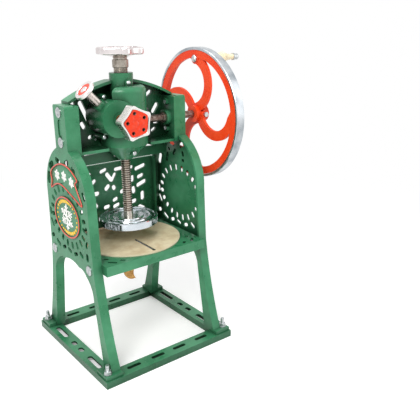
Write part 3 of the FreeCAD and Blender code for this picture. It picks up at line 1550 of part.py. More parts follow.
def crank_wheel():
    """The wheel: banded rim, four thin curved spokes, hub with its set bolt boss, grip boss."""
    body = new_body("crank_wheel")
    face = s.wheel_face
    back = face + s.wheel_width
    lip = s.wheel_lip
    rim = sketch_in(body, "XY", 0 * face)
    rim.outline(
        (face, s.wheel_inner),
        (face, s.wheel_paint),
        (face - lip, s.wheel_paint + lip),
        (face - lip, s.wheel_radius - lip),
        (face, s.wheel_radius),
        (back - lip, s.wheel_radius),
        (back, s.wheel_radius - lip),
        (back, s.wheel_radius - s.rim_depth),
        (face + s.rim_web, s.wheel_radius - s.rim_depth),
        (face + s.rim_web, s.wheel_inner),
    )
    ring = body.newObject("PartDesign::Revolution", "crank_wheel_rim")
    ring.Profile = rim.finish()
    ring.ReferenceAxis = (ring.Profile[0], ["H_Axis"])
    ring.Angle = 360
    body.Tip = ring
    add_circle(body, "YZ", s.hub_front, s.hub_back, 0, 0, s.hub_radius)
    spoke = sketch_in(body, "YZ", face + s.spoke_inset)
    middle = (s.spoke_side, s.spoke_rise)

    def on_arc(radius, degrees):
        u, v = turned_by(radius, 0 * radius, degrees)
        return middle[0] + u, middle[1] + v

    hub_in = on_arc(s.spoke_inner, SPOKE_HUB_ANGLE)
    rim_in = on_arc(s.spoke_inner, SPOKE_INNER_END)
    rim_out = on_arc(s.spoke_outer, SPOKE_OUTER_END)
    hub_out = on_arc(s.spoke_outer, SPOKE_HUB_ANGLE)
    overlap = s.wheel_inner + s.wheel_lip
    rim_back = turned_by(overlap, 0 * overlap, SPOKE_RIM_ANGLE)
    spoke.outline(
        (hub_in[0], hub_in[1]),
        (hub_out[0], hub_out[1], -s.spoke_outer),
        (rim_out[0], rim_out[1]),
        (rim_back[0], rim_back[1]),
        (rim_in[0], rim_in[1], s.spoke_inner),
    )
    blade = pad(body, spoke, "YZ", s.spoke_thickness)
    pattern = body.newObject("PartDesign::PolarPattern", "crank_wheel_spokes")
    pattern.Originals = [blade]
    pattern.Axis = (spoke.sketch, ["N_Axis"])
    pattern.Angle = 360
    pattern.Occurrences = SPOKE_COUNT
    body.Tip = pattern
    add_circle(body, "YZ", face, back, 0, s.grip_offset, s.grip_boss)
    set_boss = s.hub_radius + s.bolt_head
    add_circle(body, "XZ", -set_boss, 0 * set_boss, (s.hub_front + s.hub_back) / 2, 0, s.bolt_head)
    cut_circle(body, "YZ", s.hub_front, s.hub_back, 0, 0, s.shaft_radius)
    cut_circle(body, "YZ", face, back, 0, s.grip_offset, s.grip_pin)
    cut_circle(body, "XZ", -set_boss, 0 * set_boss,
               (s.hub_front + s.hub_back) / 2, 0, s.bolt_radius)
    place(body, 0, 0, s.crank_height)
    length = float(set_boss - s.shaft_radius)
    shape = screw(float(s.bolt_radius), length, float(s.bolt_head) * 0.75,
                  float(s.bolt_head_height), True)
    middle_x = (s.hub_front + s.hub_back) / 2
    group("wheel_set_bolt", shape, [(middle_x, -set_boss, s.crank_height)], Vector(0, -1, 0))


def crank_shaft():
    """The shaft from the pinion to the wheel, with a thrust collar inside the cheek."""
    start = s.crown_inner + 2
    collar = s.bearing_face - s.running_gap
    rise = s.shaft_radius + s.bush_flange_rise
    turned_piece("crank_shaft", (
        (0, start),
        (s.shaft_radius, start),
        (s.shaft_radius, collar - s.bolt_head_height),
        (rise, collar - s.bolt_head_height),
        (rise, collar),
        (s.shaft_radius, collar),
        (s.shaft_radius, s.hub_back),
        (0, s.hub_back),
    ), z=s.crank_height, along="X")


def handle():
    """The grip, free on its pin, with the nut that keeps it."""
    pin_height = s.crank_height + s.grip_offset
    pin = s.grip_pin
    face = s.wheel_face
    back = s.wheel_face + s.wheel_width
    nut_length = s.grip_tip - s.grip_end
    turned_piece("grip_pin", (
        (0, face - s.bolt_head_height),
        (s.bolt_head * 0.7, face - s.bolt_head_height),
        (s.bolt_head, face - s.bolt_head_height / 2),
        (s.bolt_head, face),
        (pin, face),
        (pin, back),
        (pin * 1.6, back),
        (pin * 1.6, s.grip_start - s.stop_gap),
        (pin, s.grip_start - s.stop_gap),
        (pin, s.grip_tip - nut_length / 4),
        (0, s.grip_tip - nut_length / 4),
    ), z=pin_height, along="X")
    bore = pin + s.running_gap
    length = s.grip_end - s.grip_start
    turned_piece("grip", (
        (bore, s.grip_start),
        (s.grip_radius * 0.62, s.grip_start),
        (s.grip_radius * 0.68, s.grip_start + length * 0.06, -s.grip_radius * 9),
        (s.grip_radius, s.grip_start + length * 0.66, -s.grip_radius * 3.6),
        (s.grip_radius * 0.5, s.grip_end),
        (bore, s.grip_end),
    ), z=pin_height, along="X")
    turned_piece("grip_nut", (
        (pin, s.grip_end + s.stop_gap),
        (pin * 1.6, s.grip_end + s.stop_gap),
        (pin * 1.6, s.grip_end + nut_length * 0.3),
        (pin * 1.3, s.grip_end + nut_length * 0.4),
        (pin * 1.4, s.grip_tip - nut_length * 0.2),
        (pin * 0.8, s.grip_tip),
        (0, s.grip_tip),
        (0, s.grip_tip - nut_length / 4),
        (pin, s.grip_tip - nut_length / 4),
    ), z=pin_height, along="X")


def bevel_tooth(pitch_out, pitch_in, rise, sink, half_tip, half_root):
    """One straight bevel tooth between two sections that are scaled from the apex.
    Sections are given as (axial, radial) places of the pitch line at the outer end."""
    axial, radial = pitch_out
    length = math.hypot(axial, radial)
    normal = (-radial / length, axial / length)
    corners = []
    for height, half in ((-sink, half_root), (rise, half_tip)):
        place_axial = axial + normal[0] * height
        place_radial = radial + normal[1] * height
        corners.append((place_axial, place_radial, half))
    wires = []
    for scale in (pitch_in / length, 1.0):
        (low_axial, low_radial, low_half), (top_axial, top_radial, top_half) = corners
        points = [
            Vector(low_radial, -low_half, low_axial) * scale,
            Vector(low_radial, low_half, low_axial) * scale,
            Vector(top_radial, top_half, top_axial) * scale,
            Vector(top_radial, -top_half, top_axial) * scale,
        ]
        wires.append(Part.makePolygon(points + points[:1]))
    return Part.makeLoft(wires, True, True)


def bevel_gear(own_pitch, other_pitch, inner_scale, teeth, phase, blank):
    """A straight bevel gear with its apex at the origin and its axis along +Z."""
    addendum = float(s.gear_addendum)
    dedendum = float(s.gear_dedendum)
    outer = (other_pitch, own_pitch)
    length = math.hypot(*outer)
    circular = 2 * math.pi * own_pitch / teeth
    half_pitch = circular * 0.22
    tooth = bevel_tooth(outer, length * inner_scale, addendum, dedendum + 0.6,
                        half_pitch - addendum * 0.38, half_pitch + dedendum * 0.32)
    copies = []
    for step in range(teeth):
        copy = tooth.copy()
        copy.rotate(Vector(), UP, 360 / teeth * (step + phase))
        copies.append(copy)
    return blank.multiFuse(copies)


def lathe(profile):
    """A solid turned about Z from (radius, height) corners."""
    corners = [Vector(radius, 0, height) for radius, height in profile]
    return Part.Face(Part.makePolygon(corners + corners[:1])).revolve(Vector(), UP, 360)


def cone_roots(own, other, inner_scale):
    """The root line of a bevel gear as two (radius, height) places, outer then inner."""
    length = math.hypot(own, other)
    sink = float(s.gear_dedendum)
    radius = own - sink * other / length
    height = other + sink * own / length
    return (radius, height), (radius * inner_scale, height * inner_scale)


def gears():
    """The bevel pinion on the crank shaft and the crown gear that turns the spindle."""
    pinion = float(s.pinion_pitch)
    crown = float(s.crown_pitch)
    scale = float(s.crown_inner) / crown
    bore = float(s.shaft_radius)
    outer, inner = cone_roots(pinion, crown, scale)
    blank = lathe([
        (bore, inner[1]), inner, outer, (outer[0] - 4, outer[1] + 2.4), (bore, outer[1] + 2.4),
    ])
    shape = bevel_gear(pinion, crown, scale, PINION_TEETH, 0, blank)
    pinion_node = part_node("bevel_pinion", shape)
    place(pinion_node, z=s.crank_height, along="X")
    hub = float(s.crown_hub)
    hub_bore = float(s.spindle_bore)
    apex = float(s.crank_height)
    low = apex - float(s.lower_boss_top + s.bush_flange + s.running_gap)
    high = apex - float(s.feed_low - s.running_gap)
    floor = apex - float(s.crown_floor)
    outer, inner = cone_roots(crown, pinion, scale)
    blank = lathe([
        (hub_bore, high), (hub, high), (hub, inner[1]), inner, outer,
        (outer[0] - 3, floor - 6), (outer[0] - 9, floor), (hub, floor), (hub, low), (hub_bore, low),
    ])
    shape = bevel_gear(crown, pinion, scale, CROWN_TEETH, 0.5, blank)
    way = float(s.keyway_width) / 2
    slot = Part.makeBox(hub, way * 2, low - high + 2, Vector(0, -way, high - 1))
    limit = Part.makeCylinder(hub - 1.5, low - high + 2, Vector(0, 0, high - 1))
    crown_node = part_node("crown_gear", shape.cut(slot.common(limit)))
    place(crown_node, z=s.crank_height, along="down")


def spindle_key():
    """The key in the crown gear's hub that runs in the spindle's keyway."""
    body = new_body("spindle_key")
    low = s.lower_boss_top + s.bush_flange + s.running_gap
    half = s.keyway_width / 2 - s.running_gap
    add_box(body, "XY", low, s.feed_low - s.running_gap,
            (s.keyway_floor + s.stop_gap, -half, s.crown_hub - 1.8, half))


# ---------------------------------------------------------------------------------------------
# Spindle group
# ---------------------------------------------------------------------------------------------

def spindle():
    """The screw that carries the chuck, with ridges for its thread and a long keyway."""
    crest = float(s.thread_radius)
    valley = float(s.thread_root)
    pitch = float(s.thread_pitch)
    start = float(s.thread_start)
    turns = int((float(s.thread_end) - start) / pitch)
    neck = valley - 1
    bottom = float(s.chuck_top - s.chuck_plate)
    profile = [(0, bottom), (neck, bottom), (neck, bottom + float(s.chuck_plate))]
    profile.append((crest, bottom + float(s.chuck_plate)))
    for turn in range(turns):
        low = start + pitch * turn
        profile.append((crest, low))
        profile.append((valley, low + pitch * 0.35))
        profile.append((valley, low + pitch * 0.5))
        profile.append((crest, low + pitch * 0.85))
    last = start + pitch * turns
    top = float(s.handwheel_plate + s.handwheel_height - s.handwheel_recess)
    profile += [(crest, last), (neck, last), (neck, top), (0, top)]
    half = float(s.keyway_width) / 2
    floor = float(s.keyway_floor)
    corner = Vector(floor, -half, start)
    groove = Part.makeBox(crest, half * 2, last - start - pitch * 2, corner)
    part_node("spindle", lathe(profile).cut(groove))


def chuck():
    """The round plate that presses on the ice, with ridges above and spikes below."""
    top = s.chuck_top
    plate = s.chuck_plate
    radius = s.chuck_radius
    wall = s.chuck_wall
    neck = s.thread_root - 1
    low = top - s.chuck_height
    hub = s.thread_radius * 1.7
    profile = [(neck, top - plate), (radius - wall, top - plate), (radius - wall, low)]
    profile += [(radius - 1, low), (radius, low + 1), (radius, top - 2), (radius - 2, top)]
    for ridge in (0.86, 0.62):
        profile.append((radius * (ridge + 0.06), top))
        profile.append((radius * (ridge + 0.03), top - 2))
        profile.append((radius * (ridge - 0.09), top - 2))
        profile.append((radius * (ridge - 0.12), top + 0.5))
    crest = s.thread_radius
    profile += [(hub, top + 0.5), (crest, top + 0.5), (crest, top), (neck, top)]
    turned_piece("chuck", profile)
    spike = Part.makeCone(float(s.spike_radius), 0.3, float(s.spike_length))
    spots = []
    for step in range(SPIKE_COUNT):
        u, v = turned_by(s.spike_ring, 0 * s.spike_ring, 360 / SPIKE_COUNT * step)
        spots.append((u, v, top - plate))
    group("chuck_spikes", spike, spots, Vector(0, 0, -1))


def collars():
    """The stop collar over the head's boss and the thick collar under the handwheel."""
    low = s.collar_bottom
    radius = s.collar_radius
    rib = s.collar_height / 4
    profile = [(s.thread_radius, low)]
    for step in range(4):
        profile.append((radius - 1, low + rib * step))
        profile.append((radius, low + rib * (step + 0.3)))
        profile.append((radius, low + rib * (step + 0.7)))
    profile += [(radius - 1, s.upper_collar_bottom), (s.thread_radius, s.upper_collar_bottom)]
    turned_piece("stop_collar", profile)
    neck = s.thread_root - 1
    outer = s.upper_collar_radius
    turned_piece("handwheel_collar", (
        (neck, s.upper_collar_bottom),
        (outer - 1, s.upper_collar_bottom),
        (outer, s.upper_collar_bottom + 1),
        (outer, s.handwheel_bottom - 4),
        (outer - 2.5, s.handwheel_bottom - 2),
        (outer - 2.5, s.handwheel_bottom),
        (neck, s.handwheel_bottom),
    ))


def lobed_outline(drawing, radius, lobes, start, corner, hollow):
    """A rounded polygon: a small round at each corner, hollow arcs between the corners."""
    corners = []
    for step in range(lobes):
        degrees = start + 360 / lobes * step
        before = turned_by(radius, -corner, degrees)
        after = turned_by(radius, corner, degrees)
        corners.append((before[0], before[1], corner * 1.25))
        corners.append((after[0], after[1], -hollow))
    drawing.outline(*corners)


def handwheel():
    """The lobed wheel on top that raises and lowers the chuck by hand."""
    body = new_body("handwheel")
    low = s.handwheel_plate
    high = low + s.handwheel_height
    radius = s.handwheel_radius
    outline = sketch_in(body, "XY", low)
    lobed_outline(outline, radius - 2, HANDWHEEL_LOBES, HANDWHEEL_START,
                  radius * 0.22, radius * 0.9)
    plate = pad(body, outline, "XY", high - low)
    doc.recompute()
    rounded = body.newObject("PartDesign::Fillet", "handwheel_rounding")
    rounded.Base = (plate, [
        f"Edge{index}" for index, edge in enumerate(plate.Shape.Edges, start=1)
        if edge.BoundBox.ZLength < FLAT_EDGE
    ])
    bind(rounded, "Radius", s.handwheel_round)
    body.Tip = rounded
    shoulder = s.upper_collar_radius - 2.5
    revolve(
        body,
        (0, s.handwheel_bottom),
        (shoulder, s.handwheel_bottom),
        (s.handwheel_neck_radius, low),
        (s.handwheel_neck_radius, low + s.handwheel_round),
        (0, low + s.handwheel_round),
    )
    dish = sketch_in(body, "XY", high - s.handwheel_recess)
    lobed_outline(dish, radius - 6, HANDWHEEL_LOBES, HANDWHEEL_START, radius * 0.18, radius * 0.9)
    pocket(body, dish, "XY", s.handwheel_recess)
    neck = s.thread_root - 1
    cut_circle(body, "XY", s.handwheel_bottom, high, 0, 0, neck)
    holes = sketch_in(body, "XY", low)
    for lobe in range(HANDWHEEL_LOBES):
        degrees = HANDWHEEL_START + 360 / HANDWHEEL_LOBES * lobe
        u, v = turned_by(radius * 0.78, 0 * radius, degrees)
        holes.circle(u, v, radius * 0.1)
    pocket(body, holes, "XY", high - low)
    top = high - s.handwheel_recess
    nut_shape = dome(float(neck) * 1.5, float(s.handwheel_recess) * 1.2)
    group("handwheel_cap", nut_shape, [(0, 0, top)], UP)


# ---------------------------------------------------------------------------------------------
# Feed drive
# ---------------------------------------------------------------------------------------------

def feed_nut():
    """The worm wheel round the spindle, between the crown gear and the upper bush."""
    pitch = float(s.feed_pitch)
    tip = pitch + float(s.feed_addendum)
    root = pitch - float(s.feed_dedendum)
    step = 2 * math.pi / FEED_TEETH
    corners = []
    for tooth in range(FEED_TEETH):
        middle = step * tooth
        for radius, share in ((root, -0.29), (tip, -0.12), (tip, 0.12), (root, 0.29)):
            angle = middle + step * share
            corners.append(Vector(radius * math.cos(angle), radius * math.sin(angle), 0))
    low = float(s.feed_low)
    height = float(s.feed_high - s.feed_low)
    rim = Part.Face(Part.makePolygon(corners + corners[:1])).extrude(Vector(0, 0, height))
    rim.translate(Vector(0, 0, low))
    hub_top = float(s.boss_bottom - s.bush_flange - s.running_gap)
    hub = Part.makeCylinder(float(s.feed_hub), hub_top - low, Vector(0, 0, low))
    bore = Part.makeCylinder(float(s.spindle_bore), hub_top - low, Vector(0, 0, low))
    part_node("feed_nut", rim.fuse(hub).cut(bore))


def worm_thread(pitch_radius, lead, turns):
    """A helical ridge about Z, its middle at the origin."""
    tip = pitch_radius + float(s.worm_addendum)
    root = pitch_radius - float(s.worm_dedendum) - 0.4
    low = -lead * turns / 2
    helix = Part.makeHelix(lead, lead * turns, root)
    helix.translate(Vector(0, 0, low))
    foot = lead * 0.27
    crest = lead * 0.11
    points = [
        Vector(root, 0, low - foot), Vector(tip, 0, low - crest),
        Vector(tip, 0, low + crest), Vector(root, 0, low + foot),
    ]
    section = Part.makePolygon(points + points[:1])
    return Part.Wire(helix.Edges).makePipeShell([section], True, True)


def feed_shaft():
    """The shaft behind the star knob, with the brake disc and the worm."""
    lead = 2 * math.pi * float(s.feed_pitch) / FEED_TEETH
    pitch_radius = float(s.worm_pitch)
    core = pitch_radius - float(s.worm_dedendum)
    half = float(s.worm_half)
    shaft = float(s.feed_shaft)
    start = float(s.star_face) + float(s.star_depth) * 0.3
    stop = float(s.web_back + s.head_web)
    brake = float(s.brake_radius)
    brake_low = float(s.plunger_y - s.brake_width / 2)
    brake_high = float(s.plunger_y + s.brake_width / 2)
    body = lathe([
        (0, start), (shaft, start), (shaft, brake_low), (brake, brake_low), (brake, brake_high),
        (shaft, brake_high), (shaft, -half - 2), (core, -half - 2), (core, half + 2),
        (shaft, half + 2), (shaft, stop), (0, stop),
    ])
    thread = worm_thread(pitch_radius, lead, (2 * half - lead) / lead)
    node = part_node("feed_worm_shaft", body.fuse(thread))
    place(node, s.feed_x, 0, s.feed_height, "Y")


def star_knob():
    """The five-cornered feed knob, hollowed in front, with five small holes."""
    body = new_body("star_knob")
    depth = s.star_depth
    radius = s.star_radius
    corner = radius * 0.16
    face = s.star_face
    outline = sketch_in(body, "XZ", face, (s.feed_x, s.feed_height))
    lobed_outline(outline, radius, STAR_CORNERS, STAR_START, corner, radius * 3)
    pad(body, outline, "XZ", depth)
    dish = sketch_in(body, "XZ", face, (s.feed_x, s.feed_height))
    lobed_outline(dish, radius - s.star_recess, STAR_CORNERS, STAR_START, corner * 0.8, radius * 3)
    pocket(body, dish, "XZ", s.star_recess)
    holes = sketch_in(body, "XZ", face, (s.feed_x, s.feed_height))
    for step in range(STAR_CORNERS):
        degrees = STAR_START + 360 / STAR_CORNERS * step
        u, v = turned_by(radius * 0.62, 0 * radius, degrees)
        holes.circle(u, v, radius * 0.1)
    pocket(body, holes, "XZ", s.star_recess * 3)
    cut_circle(body, "XZ", face + depth * 0.3, face + depth, s.feed_x, s.feed_height, s.feed_shaft)
    top = face + s.star_recess
    cap = dome(float(s.feed_shaft), float(s.star_recess) * 0.8)
    group("star_knob_cap", cap, [(s.feed_x, top, s.feed_height)], Vector(0, -1, 0))


# ---------------------------------------------------------------------------------------------
# Spring plunger
# ---------------------------------------------------------------------------------------------

PLUNGER_LEAN = -45
SQUARE = ((-1, -1), (1, -1), (1, 1), (-1, 1))


def aim_plunger(target):
    """Place a piece made along its own Z on the plunger's line, from the drum's middle."""
    target.Placement = Placement(Vector(), Rotation(Vector(0, 1, 0), PLUNGER_LEAN))
    bind(target, "Placement.Base.x", s.feed_x)
    bind(target, "Placement.Base.y", s.plunger_y)
    bind(target, "Placement.Base.z", s.feed_height)


def plunger():
    """The round knob on its sleeve: a spring pin that brakes the feed shaft."""
    pin = s.plunger_pin
    chamber = s.plunger_chamber
    wall = s.drum_wall
    start = s.plunger_start
    seat = s.drum_radius - wall
    roof = s.sleeve_end - wall * 1.5
    sleeve = new_body("plunger_sleeve")
    revolve(
        sleeve,
        (chamber, seat),
        (s.sleeve_radius, seat),
        (s.sleeve_radius, s.sleeve_end),
        (pin + s.running_gap, s.sleeve_end),
        (pin + s.running_gap, roof),
        (chamber, roof),
    )
    aim_plunger(sleeve)
    collar = chamber - s.running_gap
    collar_top = seat + s.plunger_collar
    rod = new_body("plunger_pin")
    revolve(
        rod,
        (0, start),
        (pin * 1.5, start),
        (pin * 1.5, seat),
        (collar, seat),
        (collar, collar_top),
        (pin, collar_top),
        (pin, s.plunger_knob + s.plunger_head / 2),
        (0, s.plunger_knob + s.plunger_head / 2),
    )
    aim_plunger(rod)
    knob = new_body("round_knob")
    low = s.plunger_knob
    high = low + s.plunger_head
    radius = s.plunger_head_radius
    revolve(
        knob,
        (pin, low),
        (s.sleeve_radius * 1.3, low),
        (radius - 1.5, low + 1),
        (radius, low + 2.5),
        (radius, high - 1),
        (radius - 1, high),
        (radius * 0.72, high),
        (radius * 0.68, high - s.knob_groove),
        (radius * 0.36, high - s.knob_groove),
        (radius * 0.32, high),
        (0, high),
        (0, low + s.plunger_head / 2),
        (pin, low + s.plunger_head / 2),
    )
    aim_plunger(knob)
    wire = float(s.spring_wire)
    coil = (float(pin) + float(chamber)) / 2
    bottom = float(collar_top) + wire / 2 + 0.1
    height = float(roof) - wire / 2 - 0.1 - bottom
    helix = Part.makeHelix(height / SPRING_TURNS, height, coil)
    helix.translate(Vector(0, 0, bottom))
    half = wire / 2
    corners = [Vector(coil + half * u, 0, bottom + half * v) for u, v in SQUARE]
    section = Part.makePolygon(corners + corners[:1])
    coils = Part.Wire(helix.Edges).makePipeShell([section], True, True)
    spring = part_node("plunger_spring", coils)
    aim_plunger(spring)


# ---------------------------------------------------------------------------------------------
# Build, check and write
# ---------------------------------------------------------------------------------------------

base_rail("base_rail_left", -1)
base_rail("base_rail_right", 1)
base_bar("base_bar_front", -1)
base_bar("base_bar_back", 1)
foot_fasteners()
side_frames()
frame_fasteners()
table()
blade_group()
disc_adjuster()
back_panel()
head_casting()
gear_hood()
rear_cover()
feed_drum()
hood_screws()
bushes()
crank_wheel()
crank_shaft()
handle()
gears()
spindle_key()
spindle()
chuck()
collars()
handwheel()
feed_nut()
feed_shaft()
star_knob()
plunger()
doc.recompute()

faults = []
for item in doc.Objects:
    if any(word in item.State for word in ("Invalid", "Error")):
        faults.append(f"{item.Name}: {item.State}")
for name, node in nodes.items():
    if node.Shape.isNull() or not node.Shape.isValid():
        faults.append(f"{name}: shape is null or not valid")
if faults:
    raise RuntimeError("; ".join(faults))

os.makedirs("parts", exist_ok=True)
for name, node in nodes.items():
    node.Shape.exportStep(os.path.join("parts", f"{name}.step"))
print(f"{len(nodes)} sub-parts written")
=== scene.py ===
import json
import math

import bmesh
import bpy
import numpy as np
from mathutils import Matrix, Vector


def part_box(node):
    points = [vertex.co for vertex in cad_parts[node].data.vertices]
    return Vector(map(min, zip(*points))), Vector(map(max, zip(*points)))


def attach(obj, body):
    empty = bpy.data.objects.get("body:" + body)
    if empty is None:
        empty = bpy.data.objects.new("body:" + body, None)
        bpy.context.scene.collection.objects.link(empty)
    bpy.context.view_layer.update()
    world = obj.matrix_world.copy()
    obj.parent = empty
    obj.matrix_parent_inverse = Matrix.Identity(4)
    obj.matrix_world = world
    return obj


# Looks of a hand cranked block ice shaver: enamelled iron castings, nickel, steel, brass and wood.
# Lengths are in metres unless a name or note says millimetres.

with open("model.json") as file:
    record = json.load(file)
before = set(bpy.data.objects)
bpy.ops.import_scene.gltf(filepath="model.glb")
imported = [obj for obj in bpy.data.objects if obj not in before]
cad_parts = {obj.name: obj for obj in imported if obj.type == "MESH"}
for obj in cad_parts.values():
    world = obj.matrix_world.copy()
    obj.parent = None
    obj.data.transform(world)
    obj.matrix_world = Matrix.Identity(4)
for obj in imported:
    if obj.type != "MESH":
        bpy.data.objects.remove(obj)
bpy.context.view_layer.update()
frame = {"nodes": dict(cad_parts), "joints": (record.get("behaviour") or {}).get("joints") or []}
nodes = frame["nodes"]
print("frame loaded:", len(nodes), "nodes")


def middleOf(node):
    low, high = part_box(node)
    return (low + high) / 2


crankHeight = middleOf("crank_shaft").z
feedPlace = middleOf("feed_bush_front")  # a point on the feed shaft's line


# small helpers

def toLinear(code):
    # an sRGB hex colour as linear light
    parts = np.array([int(code[i:i + 2], 16) for i in (1, 3, 5)]) / 255
    linear = np.where(parts <= 0.04045, parts / 12.92, ((parts + 0.055) / 1.055) ** 2.4)
    return (*linear.tolist(), 1.0)


def fromMillimetres(size):
    # noise scale, in object coordinates, for spots of this many millimetres
    return 1000.0 / size


def waveFromMillimetres(pitch):
    # wave texture scale for lines this many millimetres apart: its own period is 2 pi / 20
    return 2 * math.pi / 20 * 1000.0 / pitch


def addNode(tree, kind, settings=None, inputs=None, stops=()):
    # one shader node with its settings; an input is a value or (node, output), and the stops of
    # a colour ramp are (position, hex colour)
    node = tree.nodes.new(kind)
    for name, value in (settings or {}).items():
        setattr(node, name, value)
    for number, (position, colour) in enumerate(stops):
        elements = node.color_ramp.elements
        element = elements[number] if number < len(elements) else elements.new(position)
        element.position = position
        element.color = toLinear(colour)
    for name, value in (inputs or {}).items():
        if isinstance(value, tuple) and isinstance(value[0], bpy.types.Node):
            tree.links.new(value[0].outputs[value[1]], node.inputs[name])
        else:
            node.inputs[name].default_value = value
    return node


def startMaterial(name):
    # an empty material with its principled shader, and the object coordinates
    material = bpy.data.materials.new(name)
    material.use_nodes = True
    tree = material.node_tree
    tree.nodes.clear()
    shader = addNode(tree, "ShaderNodeBsdfPrincipled")
    addNode(tree, "ShaderNodeOutputMaterial", None, {"Surface": (shader, "BSDF")})
    place = addNode(tree, "ShaderNodeTexCoord")
    return material, tree, shader, place


print("helpers ready")


# enamel on castings

greenLook = {
    "name": "gloss enamel on cast iron, green",
    "body": "#2E7850", "thin": "#479068", "hollow": "#0A2C16",
    "patch": 60.0,  # mm, where the brush left more or less paint
    "skin": 3.2,  # mm, sand cast skin that shows through the coat
    "skinDepth": 0.00016,
    "hollowReach": 0.075,  # walls nearer than this shade a spot, and the colour is painted darker there as shade
    "roughness": (0.24, 0.38),
    "coat": 0.1,
}


def paintNodes(tree, place, look):
    # the enamel's colour, roughness and relief: painted shade darkens the colour in recesses and
    # near walls, and the coat thins on the flats
    patch = addNode(tree, "ShaderNodeTexNoise", None, {
        "Vector": (place, "Object"), "Scale": fromMillimetres(look["patch"]),
        "Detail": 4.0, "Roughness": 0.6})
    tone = addNode(tree, "ShaderNodeValToRGB", None, {"Fac": (patch, "Fac")},
                   [(0.35, look["body"]), (0.68, look["thin"])])
    # painted shade: the more a spot is closed in by walls, the nearer its colour comes to the
    # shade tone
    shelter = addNode(tree, "ShaderNodeAmbientOcclusion", {"samples": 6}, {
        "Distance": look["hollowReach"]})
    paintedShade = addNode(tree, "ShaderNodeMapRange", None, {
        "Value": (shelter, "AO"), "From Min": 0.25, "From Max": 1.0})
    colour = addNode(tree, "ShaderNodeMixRGB", None, {
        "Fac": (paintedShade, "Result"), "Color1": toLinear(look["hollow"]), "Color2": (tone, "Color")})
    gloss = addNode(tree, "ShaderNodeMapRange", None, {
        "Value": (patch, "Fac"), "From Min": 0.3, "From Max": 0.7,
        "To Min": look["roughness"][0], "To Max": look["roughness"][1]})
    skin = addNode(tree, "ShaderNodeTexNoise", None, {
        "Vector": (place, "Object"), "Scale": fromMillimetres(look["skin"]),
        "Detail": 3.0, "Roughness": 0.5})
    relief = addNode(tree, "ShaderNodeBump", None, {
        "Height": (skin, "Fac"), "Distance": look["skinDepth"], "Strength": 0.8})
    return colour, gloss, relief


def enamel(look):
    # brushed gloss enamel over sand cast iron: deep even colour, soft highlights, faint waves
    material, tree, shader, place = startMaterial(look["name"])
    colour, gloss, relief = paintNodes(tree, place, look)
    tree.links.new(colour.outputs["Color"], shader.inputs["Base Color"])
    tree.links.new(gloss.outputs["Result"], shader.inputs["Roughness"])
    tree.links.new(relief.outputs["Normal"], shader.inputs["Normal"])
    shader.inputs["IOR"].default_value = 1.5
    shader.inputs["Specular IOR Level"].default_value = 0.35
    shader.inputs["Coat Weight"].default_value = look["coat"]
    shader.inputs["Coat Roughness"].default_value = 0.08
    return material


wheelLook = {
    "name": "red enamel wheel with a machined rim",
    "body": "#EA3C10", "thin": "#F04E20", "hollow": "#BE2A0A",
    "patch": 40.0, "skin": 4.0,  # mm, as for the green
    "skinDepth": 0.00010,
    "hollowReach": 0.010,
    "roughness": (0.34, 0.48),
    "paintRadius": 0.1405, "paintEdge": 0.0002,  # where the paint stops, and how softly
    "bare": "#CDD2D6", "bareDark": "#9BA3A9",
    "cloud": 35.0,  # mm, clouds on the bare steel
    "lines": 0.9,  # mm, turning marks drawn coarse enough to show
    "bareRoughness": (0.22, 0.34),
}


def wheelEnamel(look):
    # painted casting whose rim was turned bright after painting: bare steel with turning marks
    material, tree, shader, place = startMaterial(look["name"])
    colour, gloss, relief = paintNodes(tree, place, look)
    centred = addNode(tree, "ShaderNodeMapping", None, {
        "Vector": (place, "Object"), "Location": (0, 0, -crankHeight), "Scale": (0, 1, 1)})
    radius = addNode(tree, "ShaderNodeVectorMath", {"operation": "LENGTH"}, {0: (centred, 0)})
    rim = addNode(tree, "ShaderNodeMapRange", None, {
        "Value": (radius, "Value"), "From Min": look["paintRadius"] - look["paintEdge"],
        "From Max": look["paintRadius"] + look["paintEdge"]})
    around = addNode(tree, "ShaderNodeMapping", None, {
        "Vector": (place, "Object"), "Location": (0, 0, -crankHeight)})
    marks = addNode(tree, "ShaderNodeTexWave", {
        "wave_type": "BANDS", "bands_direction": "X"}, {
        "Vector": (around, 0), "Scale": waveFromMillimetres(look["lines"]), "Distortion": 0.4})
    cloud = addNode(tree, "ShaderNodeTexNoise", None, {
        "Vector": (around, 0), "Scale": fromMillimetres(look["cloud"]), "Detail": 3.0})
    steel = addNode(tree, "ShaderNodeValToRGB", None, {"Fac": (cloud, "Fac")},
                   [(0.35, look["bareDark"]), (0.65, look["bare"])])
    both = addNode(tree, "ShaderNodeMixRGB", None, {
        "Fac": (rim, "Result"), "Color1": (colour, "Color"), "Color2": (steel, "Color")})
    turned = addNode(tree, "ShaderNodeMapRange", None, {
        "Value": (marks, "Fac"), "To Min": look["bareRoughness"][0],
        "To Max": look["bareRoughness"][1]})
    rough = addNode(tree, "ShaderNodeMixRGB", None, {
        "Fac": (rim, "Result"), "Color1": (gloss, "Result"), "Color2": (turned, "Result")})
    tree.links.new(both.outputs["Color"], shader.inputs["Base Color"])
    tree.links.new(rough.outputs["Color"], shader.inputs["Roughness"])
    tree.links.new(rim.outputs["Result"], shader.inputs["Metallic"])
    tree.links.new(relief.outputs["Normal"], shader.inputs["Normal"])
    shader.inputs["Specular IOR Level"].default_value = 0.3
    return material


finishes = {"green": enamel(greenLook), "wheel": wheelEnamel(wheelLook)}
print("enamels ready")


# bare and plated metals: clouds of tone and lines of the tool, both sizes in millimetres, and
# the lines coarse enough to show

